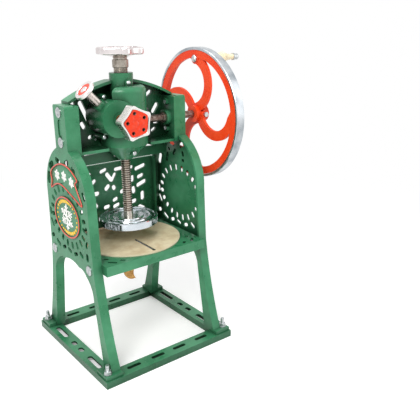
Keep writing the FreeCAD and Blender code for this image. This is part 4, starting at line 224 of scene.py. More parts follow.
metals = {
    "chrome": {
        "name": "chrome plate on a turned casting",  # near mirror, faint turning rings
        "light": "#DADFE3", "dark": "#BCC5CC", "cloud": 60.0, "roughness": (0.12, 0.22),
        "lines": 2.4, "direction": "Z", "rings": True, "depth": 0.00003, "centre": (0, 0, 0)},
    "nickelFeed": {
        "name": "nickel plate on a cast knob",  # warm white, polished over the sand skin
        "light": "#FAF8F5", "dark": "#ECE8E3", "cloud": 40.0, "roughness": (0.22, 0.30),
        "lines": 3.0, "direction": "Y", "rings": True, "depth": 0.000003,
        "centre": (-feedPlace.x, 0, -feedPlace.z)},
    "nickelTop": {
        "name": "nickel plate on the top wheel",  # worn bright by the hand
        "light": "#EFE8E7", "dark": "#D2C9C9", "cloud": 40.0, "roughness": (0.16, 0.28),
        "lines": 3.0, "direction": "Z", "rings": True, "depth": 0.00001, "centre": (0, 0, 0)},
    "nickelRound": {
        "name": "nickel plate on the round knob",  # satin, a little rosy
        "light": "#F4F0EE", "dark": "#E2DBD9", "cloud": 25.0, "roughness": (0.24, 0.34),
        "lines": 3.0, "direction": "X", "rings": False, "depth": 0.00001, "centre": (0, 0, 0)},
    "sleeve": {
        "name": "satin steel sleeve",  # turned, a little rosy
        "light": "#D6CBC5", "dark": "#B8ADA7", "cloud": 20.0, "roughness": (0.28, 0.38),
        "lines": 2.0, "direction": "X", "rings": False, "depth": 0.00001, "centre": (0, 0, 0)},
    "collar": {
        "name": "turned steel collar, dulled",  # grey with a brown tinge of old oil
        "light": "#BDB6AC", "dark": "#8D857B", "cloud": 12.0, "roughness": (0.28, 0.42),
        "lines": 1.1, "direction": "Z", "rings": False, "depth": 0.00005, "centre": (0, 0, 0)},
    "zinc": {
        "name": "zinc plated steel",  # cool grey, slightly cloudy
        "light": "#D5D8D8", "dark": "#9FA5A8", "cloud": 5.0, "roughness": (0.22, 0.42),
        "lines": 0.7, "direction": "Z", "rings": False, "depth": 0.00002, "centre": (0, 0, 0)},
    "shaft": {
        "name": "turned steel shaft, oiled",  # brown oil film and light rust in the marks
        "light": "#9C8F86", "dark": "#5B473D", "cloud": 9.0, "roughness": (0.30, 0.52),
        "lines": 0.9, "direction": "X", "rings": False, "depth": 0.00005, "centre": (0, 0, 0)},
    "spikeSteel": {
        "name": "turned steel spikes, oiled",  # mid grey, darker where oil has dried
        "light": "#B7ABA8", "dark": "#6E686A", "cloud": 10.0, "roughness": (0.24, 0.44),
        "lines": 0.9, "direction": "Z", "rings": False, "depth": 0.00004, "centre": (0, 0, 0)},
    "blade": {
        "name": "ground blade steel",  # fine marks along the edge
        "light": "#A6A9AA", "dark": "#6E7274", "cloud": 20.0, "roughness": (0.24, 0.36),
        "lines": 0.8, "direction": "Y", "rings": False, "depth": 0.00003, "centre": (0, 0, 0)},
    "gear": {
        "name": "cut gear steel, greased",  # dark and dull, with a film of grease
        "light": "#8A8B89", "dark": "#4A4946", "cloud": 6.0, "roughness": (0.32, 0.5),
        "lines": 1.2, "direction": "Z", "rings": True, "depth": 0.00004, "centre": (0, 0, 0)},
    "bronze": {
        "name": "cast bronze bush",  # warm brown gold, bored bright
        "light": "#B88A58", "dark": "#7F5A36", "cloud": 7.0, "roughness": (0.26, 0.44),
        "lines": 0.8, "direction": "X", "rings": False, "depth": 0.00003, "centre": (0, 0, 0)},
    "brass": {
        "name": "cast brass, tarnished",  # dull yellow with brown clouds
        "light": "#C49A5E", "dark": "#8A6236", "cloud": 9.0, "roughness": (0.34, 0.55),
        "lines": 2.2, "direction": "Z", "rings": False, "depth": 0.00008, "centre": (0, 0, 0)},
}


def machinedMetal(look):
    # bare or plated metal: cloudy tone, and the tool's lines as rings or bands
    material, tree, shader, place = startMaterial(look["name"])
    centred = addNode(tree, "ShaderNodeMapping", None, {
        "Vector": (place, "Object"), "Location": look["centre"]})
    cloud = addNode(tree, "ShaderNodeTexNoise", None, {
        "Vector": (centred, 0), "Scale": fromMillimetres(look["cloud"]),
        "Detail": 5.0, "Roughness": 0.6})
    tone = addNode(tree, "ShaderNodeValToRGB", None, {"Fac": (cloud, "Fac")},
                   [(0.32, look["dark"]), (0.62, look["light"])])
    kind = "rings" if look["rings"] else "bands"
    lines = addNode(tree, "ShaderNodeTexWave", {
        "wave_type": kind.upper(), kind + "_direction": look["direction"]}, {
        "Vector": (centred, 0), "Scale": waveFromMillimetres(look["lines"]),
        "Distortion": 0.6, "Detail": 1.0})
    rough = addNode(tree, "ShaderNodeMapRange", None, {
        "Value": (cloud, "Fac"), "From Min": 0.3, "From Max": 0.7,
        "To Min": look["roughness"][1], "To Max": look["roughness"][0]})
    relief = addNode(tree, "ShaderNodeBump", None, {
        "Height": (lines, "Fac"), "Distance": look["depth"], "Strength": 0.7})
    tree.links.new(tone.outputs["Color"], shader.inputs["Base Color"])
    tree.links.new(rough.outputs["Result"], shader.inputs["Roughness"])
    tree.links.new(relief.outputs["Normal"], shader.inputs["Normal"])
    shader.inputs["Metallic"].default_value = 1.0
    return material


threadLook = {
    "name": "cut steel thread, oiled",
    "darkTo": 0.0087, "brightFrom": 0.0103,  # radii, just above the roots and below the crests
    "crestHighlight": "#DCD3C8", "rootShade": "#5E534E",
    "film": 14.0,  # mm, patches of brown oil
    "filmTone": "#A98E76", "filmShare": 0.5,
    "roughness": (0.5, 0.3),  # of roots and of crests
}


def cutThread(look):
    # a screw cut on a lathe: its roots are painted dark as shade and its crests painted light as a
    # highlight
    material, tree, shader, place = startMaterial(look["name"])
    flat = addNode(tree, "ShaderNodeMapping", None, {
        "Vector": (place, "Object"), "Scale": (1, 1, 0)})
    radius = addNode(tree, "ShaderNodeVectorMath", {"operation": "LENGTH"}, {0: (flat, 0)})
    # painted shade in the roots and painted highlight on the crests, by radius
    crestShare = addNode(tree, "ShaderNodeMapRange", None, {
        "Value": (radius, "Value"), "From Min": look["darkTo"],
        "From Max": look["brightFrom"]})
    steel = addNode(tree, "ShaderNodeMixRGB", None, {
        "Fac": (crestShare, "Result"), "Color1": toLinear(look["rootShade"]),
        "Color2": toLinear(look["crestHighlight"])})
    patch = addNode(tree, "ShaderNodeTexNoise", None, {
        "Vector": (place, "Object"), "Scale": fromMillimetres(look["film"]), "Detail": 3.0})
    film = addNode(tree, "ShaderNodeMapRange", None, {
        "Value": (patch, "Fac"), "From Min": 0.45, "From Max": 0.7,
        "To Max": look["filmShare"]})
    colour = addNode(tree, "ShaderNodeMixRGB", None, {
        "Fac": (film, "Result"), "Color1": (steel, "Color"), "Color2": toLinear(look["filmTone"])})
    rough = addNode(tree, "ShaderNodeMapRange", None, {
        "Value": (crestShare, "Result"), "To Min": look["roughness"][0],
        "To Max": look["roughness"][1]})
    tree.links.new(colour.outputs["Color"], shader.inputs["Base Color"])
    tree.links.new(rough.outputs["Result"], shader.inputs["Roughness"])
    shader.inputs["Metallic"].default_value = 1.0
    return material


discLook = {
    "name": "faced cast brass disc, matt",
    "light": "#F2E4C2", "dark": "#DEC8A0",
    "edge": "#EADCC0", "edgeRadius": 0.1124, "edgeWidth": 0.004, "edgeShare": 0.8,
    "backShade": "#A5835F", "backShadeShare": 0.75,
    "backShadeFrom": -0.02, "backShadeTo": 0.09,  # along y: darker towards the back, as painted shade
    "stain": 26.0,  # mm, water stains
    "lines": 1.8, "lineDepth": 0.00004,  # mm apart, drawn coarse enough to show, and m deep
    "roughness": (0.5, 0.7),
    "metallic": 0.35,  # lime and oxide hide most of the metal
}


def discBrass(look):
    # faced on a lathe and dulled by water: pale and matt, faint rings, and painted shade browner
    # at the back
    material, tree, shader, place = startMaterial(look["name"])
    stain = addNode(tree, "ShaderNodeTexNoise", None, {
        "Vector": (place, "Object"), "Scale": fromMillimetres(look["stain"]),
        "Detail": 5.0, "Roughness": 0.62})
    tone = addNode(tree, "ShaderNodeValToRGB", None, {"Fac": (stain, "Fac")},
                   [(0.34, look["dark"]), (0.62, look["light"])])
    flat = addNode(tree, "ShaderNodeMapping", None, {
        "Vector": (place, "Object"), "Scale": (1, 1, 0)})
    radius = addNode(tree, "ShaderNodeVectorMath", {"operation": "LENGTH"}, {0: (flat, 0)})
    rim = addNode(tree, "ShaderNodeMapRange", {"interpolation_type": "SMOOTHSTEP"}, {
        "Value": (radius, "Value"), "From Min": look["edgeRadius"] - look["edgeWidth"],
        "From Max": look["edgeRadius"], "To Max": look["edgeShare"]})
    split = addNode(tree, "ShaderNodeSeparateXYZ", None, {"Vector": (place, "Object")})
    # painted shade: the colour darkens along y towards the back
    behind = addNode(tree, "ShaderNodeMapRange", {"interpolation_type": "SMOOTHSTEP"}, {
        "Value": (split, "Y"), "From Min": look["backShadeFrom"], "From Max": look["backShadeTo"],
        "To Max": look["backShadeShare"]})
    shadedTone = addNode(tree, "ShaderNodeMixRGB", None, {
        "Fac": (behind, "Result"), "Color1": (tone, "Color"),
        "Color2": toLinear(look["backShade"])})
    colour = addNode(tree, "ShaderNodeMixRGB", None, {
        "Fac": (rim, "Result"), "Color1": (shadedTone, "Color"), "Color2": toLinear(look["edge"])})
    rings = addNode(tree, "ShaderNodeTexWave", {
        "wave_type": "RINGS", "rings_direction": "Z"}, {
        "Vector": (flat, 0), "Scale": waveFromMillimetres(look["lines"]), "Distortion": 0.5})
    relief = addNode(tree, "ShaderNodeBump", None, {
        "Height": (rings, "Fac"), "Distance": look["lineDepth"], "Strength": 0.6})
    rough = addNode(tree, "ShaderNodeMapRange", None, {
        "Value": (stain, "Fac"), "To Min": look["roughness"][0],
        "To Max": look["roughness"][1]})
    tree.links.new(colour.outputs["Color"], shader.inputs["Base Color"])
    tree.links.new(rough.outputs["Result"], shader.inputs["Roughness"])
    tree.links.new(relief.outputs["Normal"], shader.inputs["Normal"])
    shader.inputs["Metallic"].default_value = look["metallic"]
    return material


woodLook = {
    "name": "lacquered beech grip",
    "light": "#F5E9C6", "dark": "#E6D2A2", "fleck": "#C9A76E",
    "grain": 1.4, "grainLength": 17.5,  # mm, across and along the grip
    "fleckWidth": 1.2, "fleckLength": 6.0,  # mm, rays of the beech
    "roughness": (0.28, 0.42),
    "coat": 0.3, "coatRoughness": 0.15,  # the lacquer
}


def beech(look):
    # turned beech under clear lacquer: pale cream, fine lines and short flecks along the grip
    material, tree, shader, place = startMaterial(look["name"])
    along = addNode(tree, "ShaderNodeMapping", None, {
        "Vector": (place, "Object"), "Location": (0, 0, -crankHeight),
        "Scale": (look["grain"] / look["grainLength"], 1, 1)})
    grain = addNode(tree, "ShaderNodeTexNoise", None, {
        "Vector": (along, 0), "Scale": fromMillimetres(look["grain"]),
        "Detail": 4.0, "Roughness": 0.6})
    tone = addNode(tree, "ShaderNodeValToRGB", None, {"Fac": (grain, "Fac")},
                   [(0.3, look["dark"]), (0.6, look["light"])])
    short = addNode(tree, "ShaderNodeMapping", None, {
        "Vector": (place, "Object"), "Scale": (look["fleckWidth"] / look["fleckLength"], 1, 1)})
    flecks = addNode(tree, "ShaderNodeTexVoronoi", None, {
        "Vector": (short, 0), "Scale": fromMillimetres(look["fleckWidth"])})
    spots = addNode(tree, "ShaderNodeMapRange", None, {
        "Value": (flecks, "Distance"), "From Min": 0.10, "From Max": 0.20,
        "To Min": 0.35, "To Max": 0.0})
    colour = addNode(tree, "ShaderNodeMixRGB", None, {
        "Fac": (spots, "Result"), "Color1": (tone, "Color"), "Color2": toLinear(look["fleck"])})
    relief = addNode(tree, "ShaderNodeBump", None, {
        "Height": (grain, "Fac"), "Distance": 0.00003, "Strength": 0.5})
    rough = addNode(tree, "ShaderNodeMapRange", None, {
        "Value": (grain, "Fac"), "To Min": look["roughness"][0],
        "To Max": look["roughness"][1]})
    tree.links.new(colour.outputs["Color"], shader.inputs["Base Color"])
    tree.links.new(rough.outputs["Result"], shader.inputs["Roughness"])
    tree.links.new(relief.outputs["Normal"], shader.inputs["Normal"])
    shader.inputs["Coat Weight"].default_value = look["coat"]
    shader.inputs["Coat Roughness"].default_value = look["coatRoughness"]
    return material


# lacquers, laid on by hand in small amounts: the same keys as the enamels
lacquers = {
    "white": {
        "name": "white lacquer on raised ornament",  # painted shade turns it a little grey in recesses
        "body": "#F2F1EC", "thin": "#FBFAF6", "hollow": "#B9BDB4", "patch": 9.0, "skin": 1.6,
        "skinDepth": 0.00006, "hollowReach": 0.003, "roughness": (0.25, 0.4), "coat": 0.3},
    "yellow": {
        "name": "yellow lacquer on raised ornament",  # warm, with ochre painted shade between the buds
        "body": "#E8B821", "thin": "#F6D23E", "hollow": "#A97A12", "patch": 7.0, "skin": 1.4,
        "skinDepth": 0.00006, "hollowReach": 0.003, "roughness": (0.25, 0.4), "coat": 0.3},
    "red": {
        "name": "red lacquer line on raised ornament",  # thin, so it looks a little pink
        "body": "#CF4A3A", "thin": "#DE6450", "hollow": "#8E2A1E", "patch": 8.0, "skin": 1.5,
        "skinDepth": 0.00006, "hollowReach": 0.003, "roughness": (0.28, 0.42), "coat": 0.3},
    "knobRed": {
        "name": "red lacquer poured in the knobs",  # thick and wet looking, with broad waves
        "body": "#E23209", "thin": "#EA3E12", "hollow": "#8E1E08", "patch": 10.0, "skin": 4.0,
        "skinDepth": 0.00030, "hollowReach": 0.003, "roughness": (0.10, 0.20), "coat": 0.3},
}

pitLook = {
    "name": "red lacquer with dark pits",
    "pit": "#2A1C14",
}


def pittedLacquer(look, paint):
    # the poured lacquer again, with painted shade in the pits that the mesh marks
    material, tree, shader, place = startMaterial(look["name"])
    colour, gloss, relief = paintNodes(tree, place, paint)
    pit = addNode(tree, "ShaderNodeAttribute", {"attribute_name": "pit"})
    pitShaded = addNode(tree, "ShaderNodeMixRGB", None, {
        "Fac": (pit, "Fac"), "Color1": (colour, "Color"), "Color2": toLinear(look["pit"])})
    tree.links.new(pitShaded.outputs["Color"], shader.inputs["Base Color"])
    tree.links.new(gloss.outputs["Result"], shader.inputs["Roughness"])
    tree.links.new(relief.outputs["Normal"], shader.inputs["Normal"])
    shader.inputs["Specular IOR Level"].default_value = 0.4
    return material


finishes.update({name: machinedMetal(look) for name, look in metals.items()})
finishes.update({name: enamel(look) for name, look in lacquers.items()})
finishes["pitted"] = pittedLacquer(pitLook, lacquers["knobRed"])
finishes["disc"] = discBrass(discLook)
finishes["thread"] = cutThread(threadLook)
finishes["beech"] = beech(woodLook)
print("metals, lacquers and wood ready")

nodeFinish = {
    "green": ["base_rail_left", "base_rail_right", "base_bar_front", "base_bar_back",
              "side_frame_left", "side_frame_right", "table", "back_panel", "head_casting",
              "gear_hood", "rear_gear_cover", "feed_drum", "post_nuts"],
    "wheel": ["crank_wheel"],
    "chrome": ["chuck"],
    "nickelFeed": ["star_knob"],
    "knobRed": ["star_knob_cap"],
    "nickelTop": ["handwheel", "handwheel_cap"],
    "collar": ["handwheel_collar", "stop_collar"],
    "nickelRound": ["round_knob"],
    "sleeve": ["plunger_sleeve"],
    "zinc": ["foot_bolts", "foot_nuts", "foot_washers", "table_bolts", "table_nuts",
             "post_bolts", "panel_screws", "cover_screws", "hood_screws",
             "drum_screws", "wheel_set_bolt", "grip_nut", "grip_pin", "blade_screws"],
    "shaft": ["crank_shaft", "feed_worm_shaft", "plunger_pin", "plunger_spring", "spindle_key"],
    "thread": ["spindle"],
    "spikeSteel": ["chuck_spikes"],
    "blade": ["blade", "blade_clamp"],
    "gear": ["bevel_pinion", "crown_gear"],
    "bronze": ["crank_bush_inner", "crank_bush_outer", "spindle_bush_lower",
               "spindle_bush_upper", "feed_bush_front", "feed_bush_back", "feed_nut"],
    "brass": ["disc_adjuster"],
    "disc": ["blade_disc"],
    "beech": ["grip"],
}
for finish, names in nodeFinish.items():
    for name in names:
        slots = nodes[name].data.materials
        slots.clear()
        slots.append(finishes[finish])
bare = sorted(set(nodes) - {name for names in nodeFinish.values() for name in names})
print("finishes assigned, nodes without one:", bare)


# surfaces as numpy grids

def gridMesh(name, grids, finish, body):
    # each grid is (rows, columns, 3) and closed round its columns: where it is a loop, its first
    # and last row join, and otherwise they are its ends, which shrink to a point where closed
    points, faces, start = [], [], 0
    for grid, loop in grids:
        rows, columns = grid.shape[:2]
        index = np.arange(rows * columns).reshape(rows, columns) + start
        if loop:
            index = np.vstack([index, index[:1]])
        lower, upper = index[:-1], index[1:]
        quads = np.stack([lower, np.roll(lower, -1, 1), np.roll(upper, -1, 1), upper], axis=-1)
        faces.append(quads.reshape(-1, 4))
        points.append(grid.reshape(-1, 3))
        start += rows * columns
    mesh = bpy.data.meshes.new(name)
    mesh.from_pydata(np.vstack(points).tolist(), [], np.vstack(faces).tolist())
    shell = bmesh.new()
    shell.from_mesh(mesh)
    bmesh.ops.remove_doubles(shell, verts=shell.verts, dist=1e-7)
    bmesh.ops.recalc_face_normals(shell, faces=shell.faces)
    shell.to_mesh(mesh)
    shell.free()
    mesh.materials.append(finishes[finish])
    mesh.polygons.foreach_set("use_smooth", np.ones(len(mesh.polygons), dtype=bool))
    piece = bpy.data.objects.new(name, mesh)
    bpy.context.scene.collection.objects.link(piece)
    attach(piece, body)
    return piece


sunk = 0.0003  # beads and bars reach this far into what they stand on


def beadGrid(path, width, height, base):
    # a rounded bead along a closed path of (across, up) points: the section is a half circle,
    # squashed to the bead's width and height and set on the base level
    ahead = np.roll(path, -1, 0) - np.roll(path, 1, 0)
    ahead /= np.linalg.norm(ahead, axis=1)[:, None]
    side = np.stack([-ahead[:, 1], ahead[:, 0]], axis=1)
    turn = np.linspace(0, 2 * np.pi, 17)[:-1]
    across = np.cos(turn) * width / 2
    out = base + np.where(np.sin(turn) > 0, np.sin(turn) * height, np.sin(turn) * sunk)
    flat = path[:, None, :] + side[:, None, :] * across[None, :, None]
    level = np.broadcast_to(out[None, :, None], flat.shape[:2] + (1,))
    return np.concatenate([flat, level], axis=2)


def barGrid(first, last, width, height, base):
    # a low bar with round ends between two points: along it the half width follows the square
    # root of a quarter circle, and across it the section is a half ellipse
    first, last = np.array(first, float), np.array(last, float)
    reach = np.linalg.norm(last - first) / 2
    ahead = (last - first) / (2 * reach)
    side = np.array([-ahead[1], ahead[0]])
    sweep = np.linspace(-np.pi / 2, np.pi / 2, 13)
    along = np.sin(sweep) * (reach + width / 2)
    swell = np.clip(np.cos(sweep), 0, 1) ** 0.5
    turn = np.linspace(0, 2 * np.pi, 13)[:-1]
    middle = (first + last) / 2
    across = swell[:, None] * np.cos(turn)[None, :] * width / 2
    rise = np.where(np.sin(turn) > 0, np.sin(turn) * height, np.sin(turn) * sunk)
    flat = middle[None, None, :] + ahead * along[:, None, None] + side * across[:, :, None]
    level = base + swell[:, None] * rise[None, :]
    return np.concatenate([flat, level[:, :, None]], axis=2)


def budGrid(centre, radius, height, base):
    # a low round bud: a bar so short that it is a hemisphere, squashed to its height
    reach = radius * 0.02
    return barGrid((centre[0] - reach, centre[1]), (centre[0] + reach, centre[1]), radius * 2,
                   height, base)


def onFrame(grid, side):
    # (across, up, out) on a side frame's outer face becomes (x, y, z)
    across, up, out = grid[..., 0], grid[..., 1], grid[..., 2]
    return np.stack([side * (ornament["face"] + out), across, up], axis=-1)


# ornaments on the outer faces of the side frames

ornament = {
    "face": 0.142,  # outer face of the web; every base and level below counts from it
    "middle": 0.317,
    "halfWidth": 0.056, "halfHeight": 0.043,  # the medallion's cast ring
    "ringWidth": 0.0034, "ringHeight": 0.0009, "ringBase": 0.0024,
    "ringInset": 0.0013,  # from the cast ring's outline to the middle of the red line
    "dish": 0.0012,  # floor of the medallion
    "crystal": 0.027, "crystalHeight": 0.0022, "armWidth": 0.0044,
    "branches": ((0.42, 0.34), (0.70, 0.24)),  # place along an arm and length, as shares of it
    "branchLean": 60,  # degrees
    "branchWidth": 0.72, "branchHeight": 0.9,  # as shares of the arm's
    "buds": 30, "budRadius": 0.0030, "budHeight": 0.0016,
    "wreath": (0.79, 0.78),  # the wreath's half width and height, as shares of the ring's
    "crowding": 0.22,  # radians that buds move at most towards the crowded places
    "budSpread": 0.35, "budTurn": 2.4,  # share that sizes differ by, and radians that shift it
    "ribbonLine": 0.0032, "ribbonRise": 0.0016, "ribbonBase": 0.0007,
    "plateEdge": 0.0008, "plate": 0.0009,  # levels of the ribbon's green floor
    "motif": 0.0105, "motifArm": 0.0030, "motifHeight": 0.0016, "motifBase": 0.0008,
}
# corners of the ribbon, (across, up) from the middle of the frame's foot, in millimetres
ribbonCorners = [(62, 402), (36, 420), (4, 428), (-28, 424), (-57, 408), (-49, 398), (-56, 384),
                 (-72, 358), (-44, 366), (-18, 374), (4, 381), (26, 383), (46, 378), (66, 368),
                 (60, 384)]
motifPlaces = [(31, 401), (-1, 404), (-33, 398)]


def crystalGrids(centre, radius, width, height, base):
    # six arms, each with two pairs of short branches that lean outwards
    grids = []
    for arm in range(6):
        angle = math.radians(90 + 60 * arm)
        ahead = np.array([math.cos(angle), math.sin(angle)])
        tip = np.array(centre) + ahead * radius
        grids.append((barGrid(centre, tip, width, height, base), False))
        for share, reach in ornament["branches"]:
            root = np.array(centre) + ahead * radius * share
            for hand in (-1, 1):
                turned = angle + hand * math.radians(ornament["branchLean"])
                branch = np.array([math.cos(turned), math.sin(turned)]) * radius * reach
                thin = width * ornament["branchWidth"]
                low = height * ornament["branchHeight"]
                grids.append((barGrid(root, root + branch, thin, low, base), False))
    return grids


def smoothLoop(corners, count):
    # a closed line through the corners: periodic cubic (Catmull-Rom) blend of four neighbours
    corners = np.array(corners, float) / 1000
    total = len(corners)
    spots = np.linspace(0, total, count, endpoint=False)
    index = np.floor(spots).astype(int)
    t = (spots - index)[:, None]
    before, here = corners[(index - 1) % total], corners[index % total]
    after, later = corners[(index + 1) % total], corners[(index + 2) % total]
    return 0.5 * (2 * here + (after - before) * t
                  + (2 * before - 5 * here + 4 * after - later) * t ** 2
                  + (3 * here - before - 3 * after + later) * t ** 3)


def ribbonPlate(path):
    # a thin plate that fills the ribbon's outline: the outline rises from the face as a low
    # wall, then shrinks ring by ring to its middle
    middle = path.mean(axis=0)
    shares = np.array([1.0, 1.0, 0.75, 0.5, 0.25, 0.0])
    levels = np.array([0.0, ornament["plateEdge"]] + [ornament["plate"]] * 4)
    flat = middle + (path - middle)[None, :, :] * shares[:, None, None]
    level = np.broadcast_to(levels[:, None, None], flat.shape[:2] + (1,))
    return np.concatenate([flat, level], axis=2)


def sideOrnaments():
    # on each frame an oval medallion (red line, yellow wreath, white crystal) and a curved
    # ribbon above it (red line, green floor, three small white crystals)
    ring = np.linspace(0, 2 * np.pi, 121)[:-1]
    halfWidth = ornament["halfWidth"] - ornament["ringInset"]
    halfHeight = ornament["halfHeight"] - ornament["ringInset"]
    oval = np.stack([np.cos(ring) * halfWidth, ornament["middle"] + np.sin(ring) * halfHeight],
                    axis=1)
    ovalBead = beadGrid(oval, ornament["ringWidth"], ornament["ringHeight"], ornament["ringBase"])
    # buds stand closer together at the upper front and the lower back of the wreath
    steps = np.arange(ornament["buds"]) / ornament["buds"] * 2 * np.pi
    angles = steps + ornament["crowding"] * np.sin(2 * steps)
    swell = ornament["budSpread"] * np.cos(2 * angles - ornament["budTurn"])
    radii = ornament["budRadius"] * (1 + swell)
    budAcross = np.cos(angles) * ornament["halfWidth"] * ornament["wreath"][0]
    budUp = ornament["middle"] + np.sin(angles) * ornament["halfHeight"] * ornament["wreath"][1]
    budGrids = [(budGrid((across, up), radius, ornament["budHeight"], ornament["dish"]), False)
                for across, up, radius in zip(budAcross, budUp, radii)]
    crystal = crystalGrids((0, ornament["middle"]), ornament["crystal"], ornament["armWidth"],
                           ornament["crystalHeight"], ornament["dish"])
    ribbon = smoothLoop(ribbonCorners, 150)
    line = beadGrid(ribbon, ornament["ribbonLine"], ornament["ribbonRise"],
                    ornament["ribbonBase"])
    plate = ribbonPlate(ribbon)
    motifs = []
    for across, up in motifPlaces:
        motifs += crystalGrids((across / 1000, up / 1000), ornament["motif"],
                               ornament["motifArm"], ornament["motifHeight"],
                               ornament["motifBase"])
    for word, side in (("Left", -1), ("Right", 1)):
        for name, grids, finish in (
                ("medalRing", [(ovalBead, True)], "red"),
                ("medalWreath", budGrids, "yellow"),
                ("medalCrystal", crystal, "white"),
                ("ribbonLine", [(line, True)], "red"),
                ("ribbonPlate", [(plate, False)], "green"),
                ("ribbonCrystals", motifs, "white")):
            placed = [(onFrame(grid, side), loop) for grid, loop in grids]
            gridMesh(name + word, placed, finish, "stand")


sideOrnaments()
print("side ornaments ready")


# lacquer in the star knob and the round knob

starLook = {
    "corners": 5, "firstCorner": 102.0,  # degrees
    "edge": 0.0243, "corner": 0.0285,  # to the middle of a side, and to a corner
    "recess": 0.003,  # from the knob's front to the floor that the lacquer lies on
    "coat": 0.0013, "bank": 0.0008,  # thickness, and its rise at the edge
    "holeRing": 0.0198, "holeRadius": 0.0034, "holeSlope": 0.0008, "holeFloor": 0.0001,
    "pitRadius": 0.0038, "pitFade": 0.0006,  # painted shade in and round the holes
    "lumpRing": 0.0128, "lumpWidth": 0.0036, "lumpHeight": 0.0015,
    "ridgeRing": 0.0085, "ridgeWidth": 0.0030, "ridgeHeight": 0.0006,
    "middle": 0.0062,  # inside this radius nothing rises above the coat
    "back": 0.0001,  # the lacquer's back lies this far in front of the floor
}


def awayFrom(u, v, ring, angle):
    # distance in the knob's face from the point at this radius and angle
    return np.hypot(u - ring * math.cos(angle), v - ring * math.sin(angle))


def starLacquer(look):
    # a disc in polar steps: its outline is the smaller of a side and a corner, blended; its
    # height is a thin coat, plus a bank at the edge, five lumps and five ridges, and in five
    # holes it falls nearly to the floor
    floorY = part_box("star_knob")[0].y + look["recess"]
    turn = np.linspace(0, 2 * np.pi, 301)[:-1]
    step = 2 * np.pi / look["corners"]
    start = math.radians(look["firstCorner"])
    offset = (turn - start) % step - step / 2
    outline = ((look["edge"] / np.cos(offset)) ** -14.0 + look["corner"] ** -14.0) ** (-1 / 14)
    share = np.linspace(0, 1, 61)
    radius = share[:, None] * outline[None, :]
    u = radius * np.cos(turn)[None, :]
    v = radius * np.sin(turn)[None, :]
    height = look["coat"] + look["bank"] * share[:, None] ** 10 + 0 * u
    for k in range(look["corners"]):
        corner = start + step * k
        lump = awayFrom(u, v, look["lumpRing"], corner + step / 2)
        ridge = awayFrom(u, v, look["ridgeRing"], corner)
        hole = awayFrom(u, v, look["holeRing"], corner)
        height += look["lumpHeight"] * np.exp(-(lump / look["lumpWidth"]) ** 2)
        height += look["ridgeHeight"] * np.exp(-(ridge / look["ridgeWidth"]) ** 2)
        dent = np.clip((look["holeRadius"] - hole) / look["holeSlope"], 0, 1)
        height = height * (1 - dent) + look["holeFloor"] * dent
    height = np.where(radius < look["middle"], np.minimum(height, look["coat"]), height)
    top = np.stack([feedPlace.x + u, floorY - height, feedPlace.z + v], axis=-1)
    backY = floorY - look["back"]
    under = top[-1:].copy()
    under[..., 1] = backY
    closing = np.broadcast_to(np.array([feedPlace.x, backY, feedPlace.z]), under.shape)
    piece = gridMesh("starLacquer", [(np.concatenate([top, under, closing]), False)], "pitted",
                     "feed")
    markPits(piece, look, start, step)


def markPits(piece, look, start, step):
    # where the painted shade of the pits goes: one where a vertex lies in a pit, and nought past
    # its edge, with a short fade between
    spots = np.empty(len(piece.data.vertices) * 3)
    piece.data.vertices.foreach_get("co", spots)
    spots = spots.reshape(-1, 3)
    mark = np.zeros(len(spots))
    for k in range(look["corners"]):
        gap = awayFrom(spots[:, 0] - feedPlace.x, spots[:, 2] - feedPlace.z, look["holeRing"],
                       start + step * k)
        mark = np.maximum(mark, np.clip((look["pitRadius"] - gap) / look["pitFade"], 0, 1))
    shade = piece.data.attributes.new("pit", "FLOAT", "POINT")
    shade.data.foreach_set("value", mark)


knobLook = {
    "face": 0.087,  # the knob's front, along its line from the middle of the drum
    "inner": 0.0078, "outer": 0.0145, "depth": 0.0012,  # the groove that the lacquer fills
    "below": 0.00066, "crown": 0.0004,  # edge of the lacquer below the front, and its arch
    "bed": 0.00005,  # the lacquer's underside above the groove's floor
}


def plungerPoints(axial, radial, turn):
    # circles round the plunger's slanted line, which starts in the middle of the drum
    joint = next(j for j in frame["joints"] if j["name"] == "plunger_pull")
    along = np.array(joint["axis"], float)
    along /= np.linalg.norm(along)
    across = np.array([0.0, 1.0, 0.0])
    third = np.cross(along, across)
    origin = np.array([feedPlace.x, middleOf("plunger_sleeve").y, feedPlace.z])
    ring = np.cos(turn)[None, :, None] * across + np.sin(turn)[None, :, None] * third
    return origin + axial[:, None, None] * along + radial[:, None, None] * ring


def knobRing(look):
    # the groove's fill: a flat ring whose top is a low arch, closed underneath
    sweep = np.linspace(0, np.pi, 15)
    middle = (look["inner"] + look["outer"]) / 2
    half = (look["outer"] - look["inner"]) / 2
    radial = np.concatenate([middle - np.cos(sweep) * half, middle + np.cos(sweep[1:-1]) * half])
    top = look["face"] - look["below"] + np.sin(sweep) * look["crown"]
    bottom = look["face"] - look["depth"] + look["bed"]
    axial = np.concatenate([top, np.full(len(sweep) - 2, bottom)])
    turn = np.linspace(0, 2 * np.pi, 97)[:-1]
    gridMesh("knobRing", [(plungerPoints(axial, radial, turn), True)], "knobRed", "plunger")


starLacquer(starLook)
knobRing(knobLook)
print("knob lacquers ready")


# camera, floor and light

viewPoint = {
    "place": (-0.593, -1.030, 0.692),
    "yaw": 38.68,  # degrees to the right of straight back
    "pitch": 18.38,  # degrees down
    "roll": -0.3,
    "lens": 48.0,  # mm on a 36 mm sensor
}


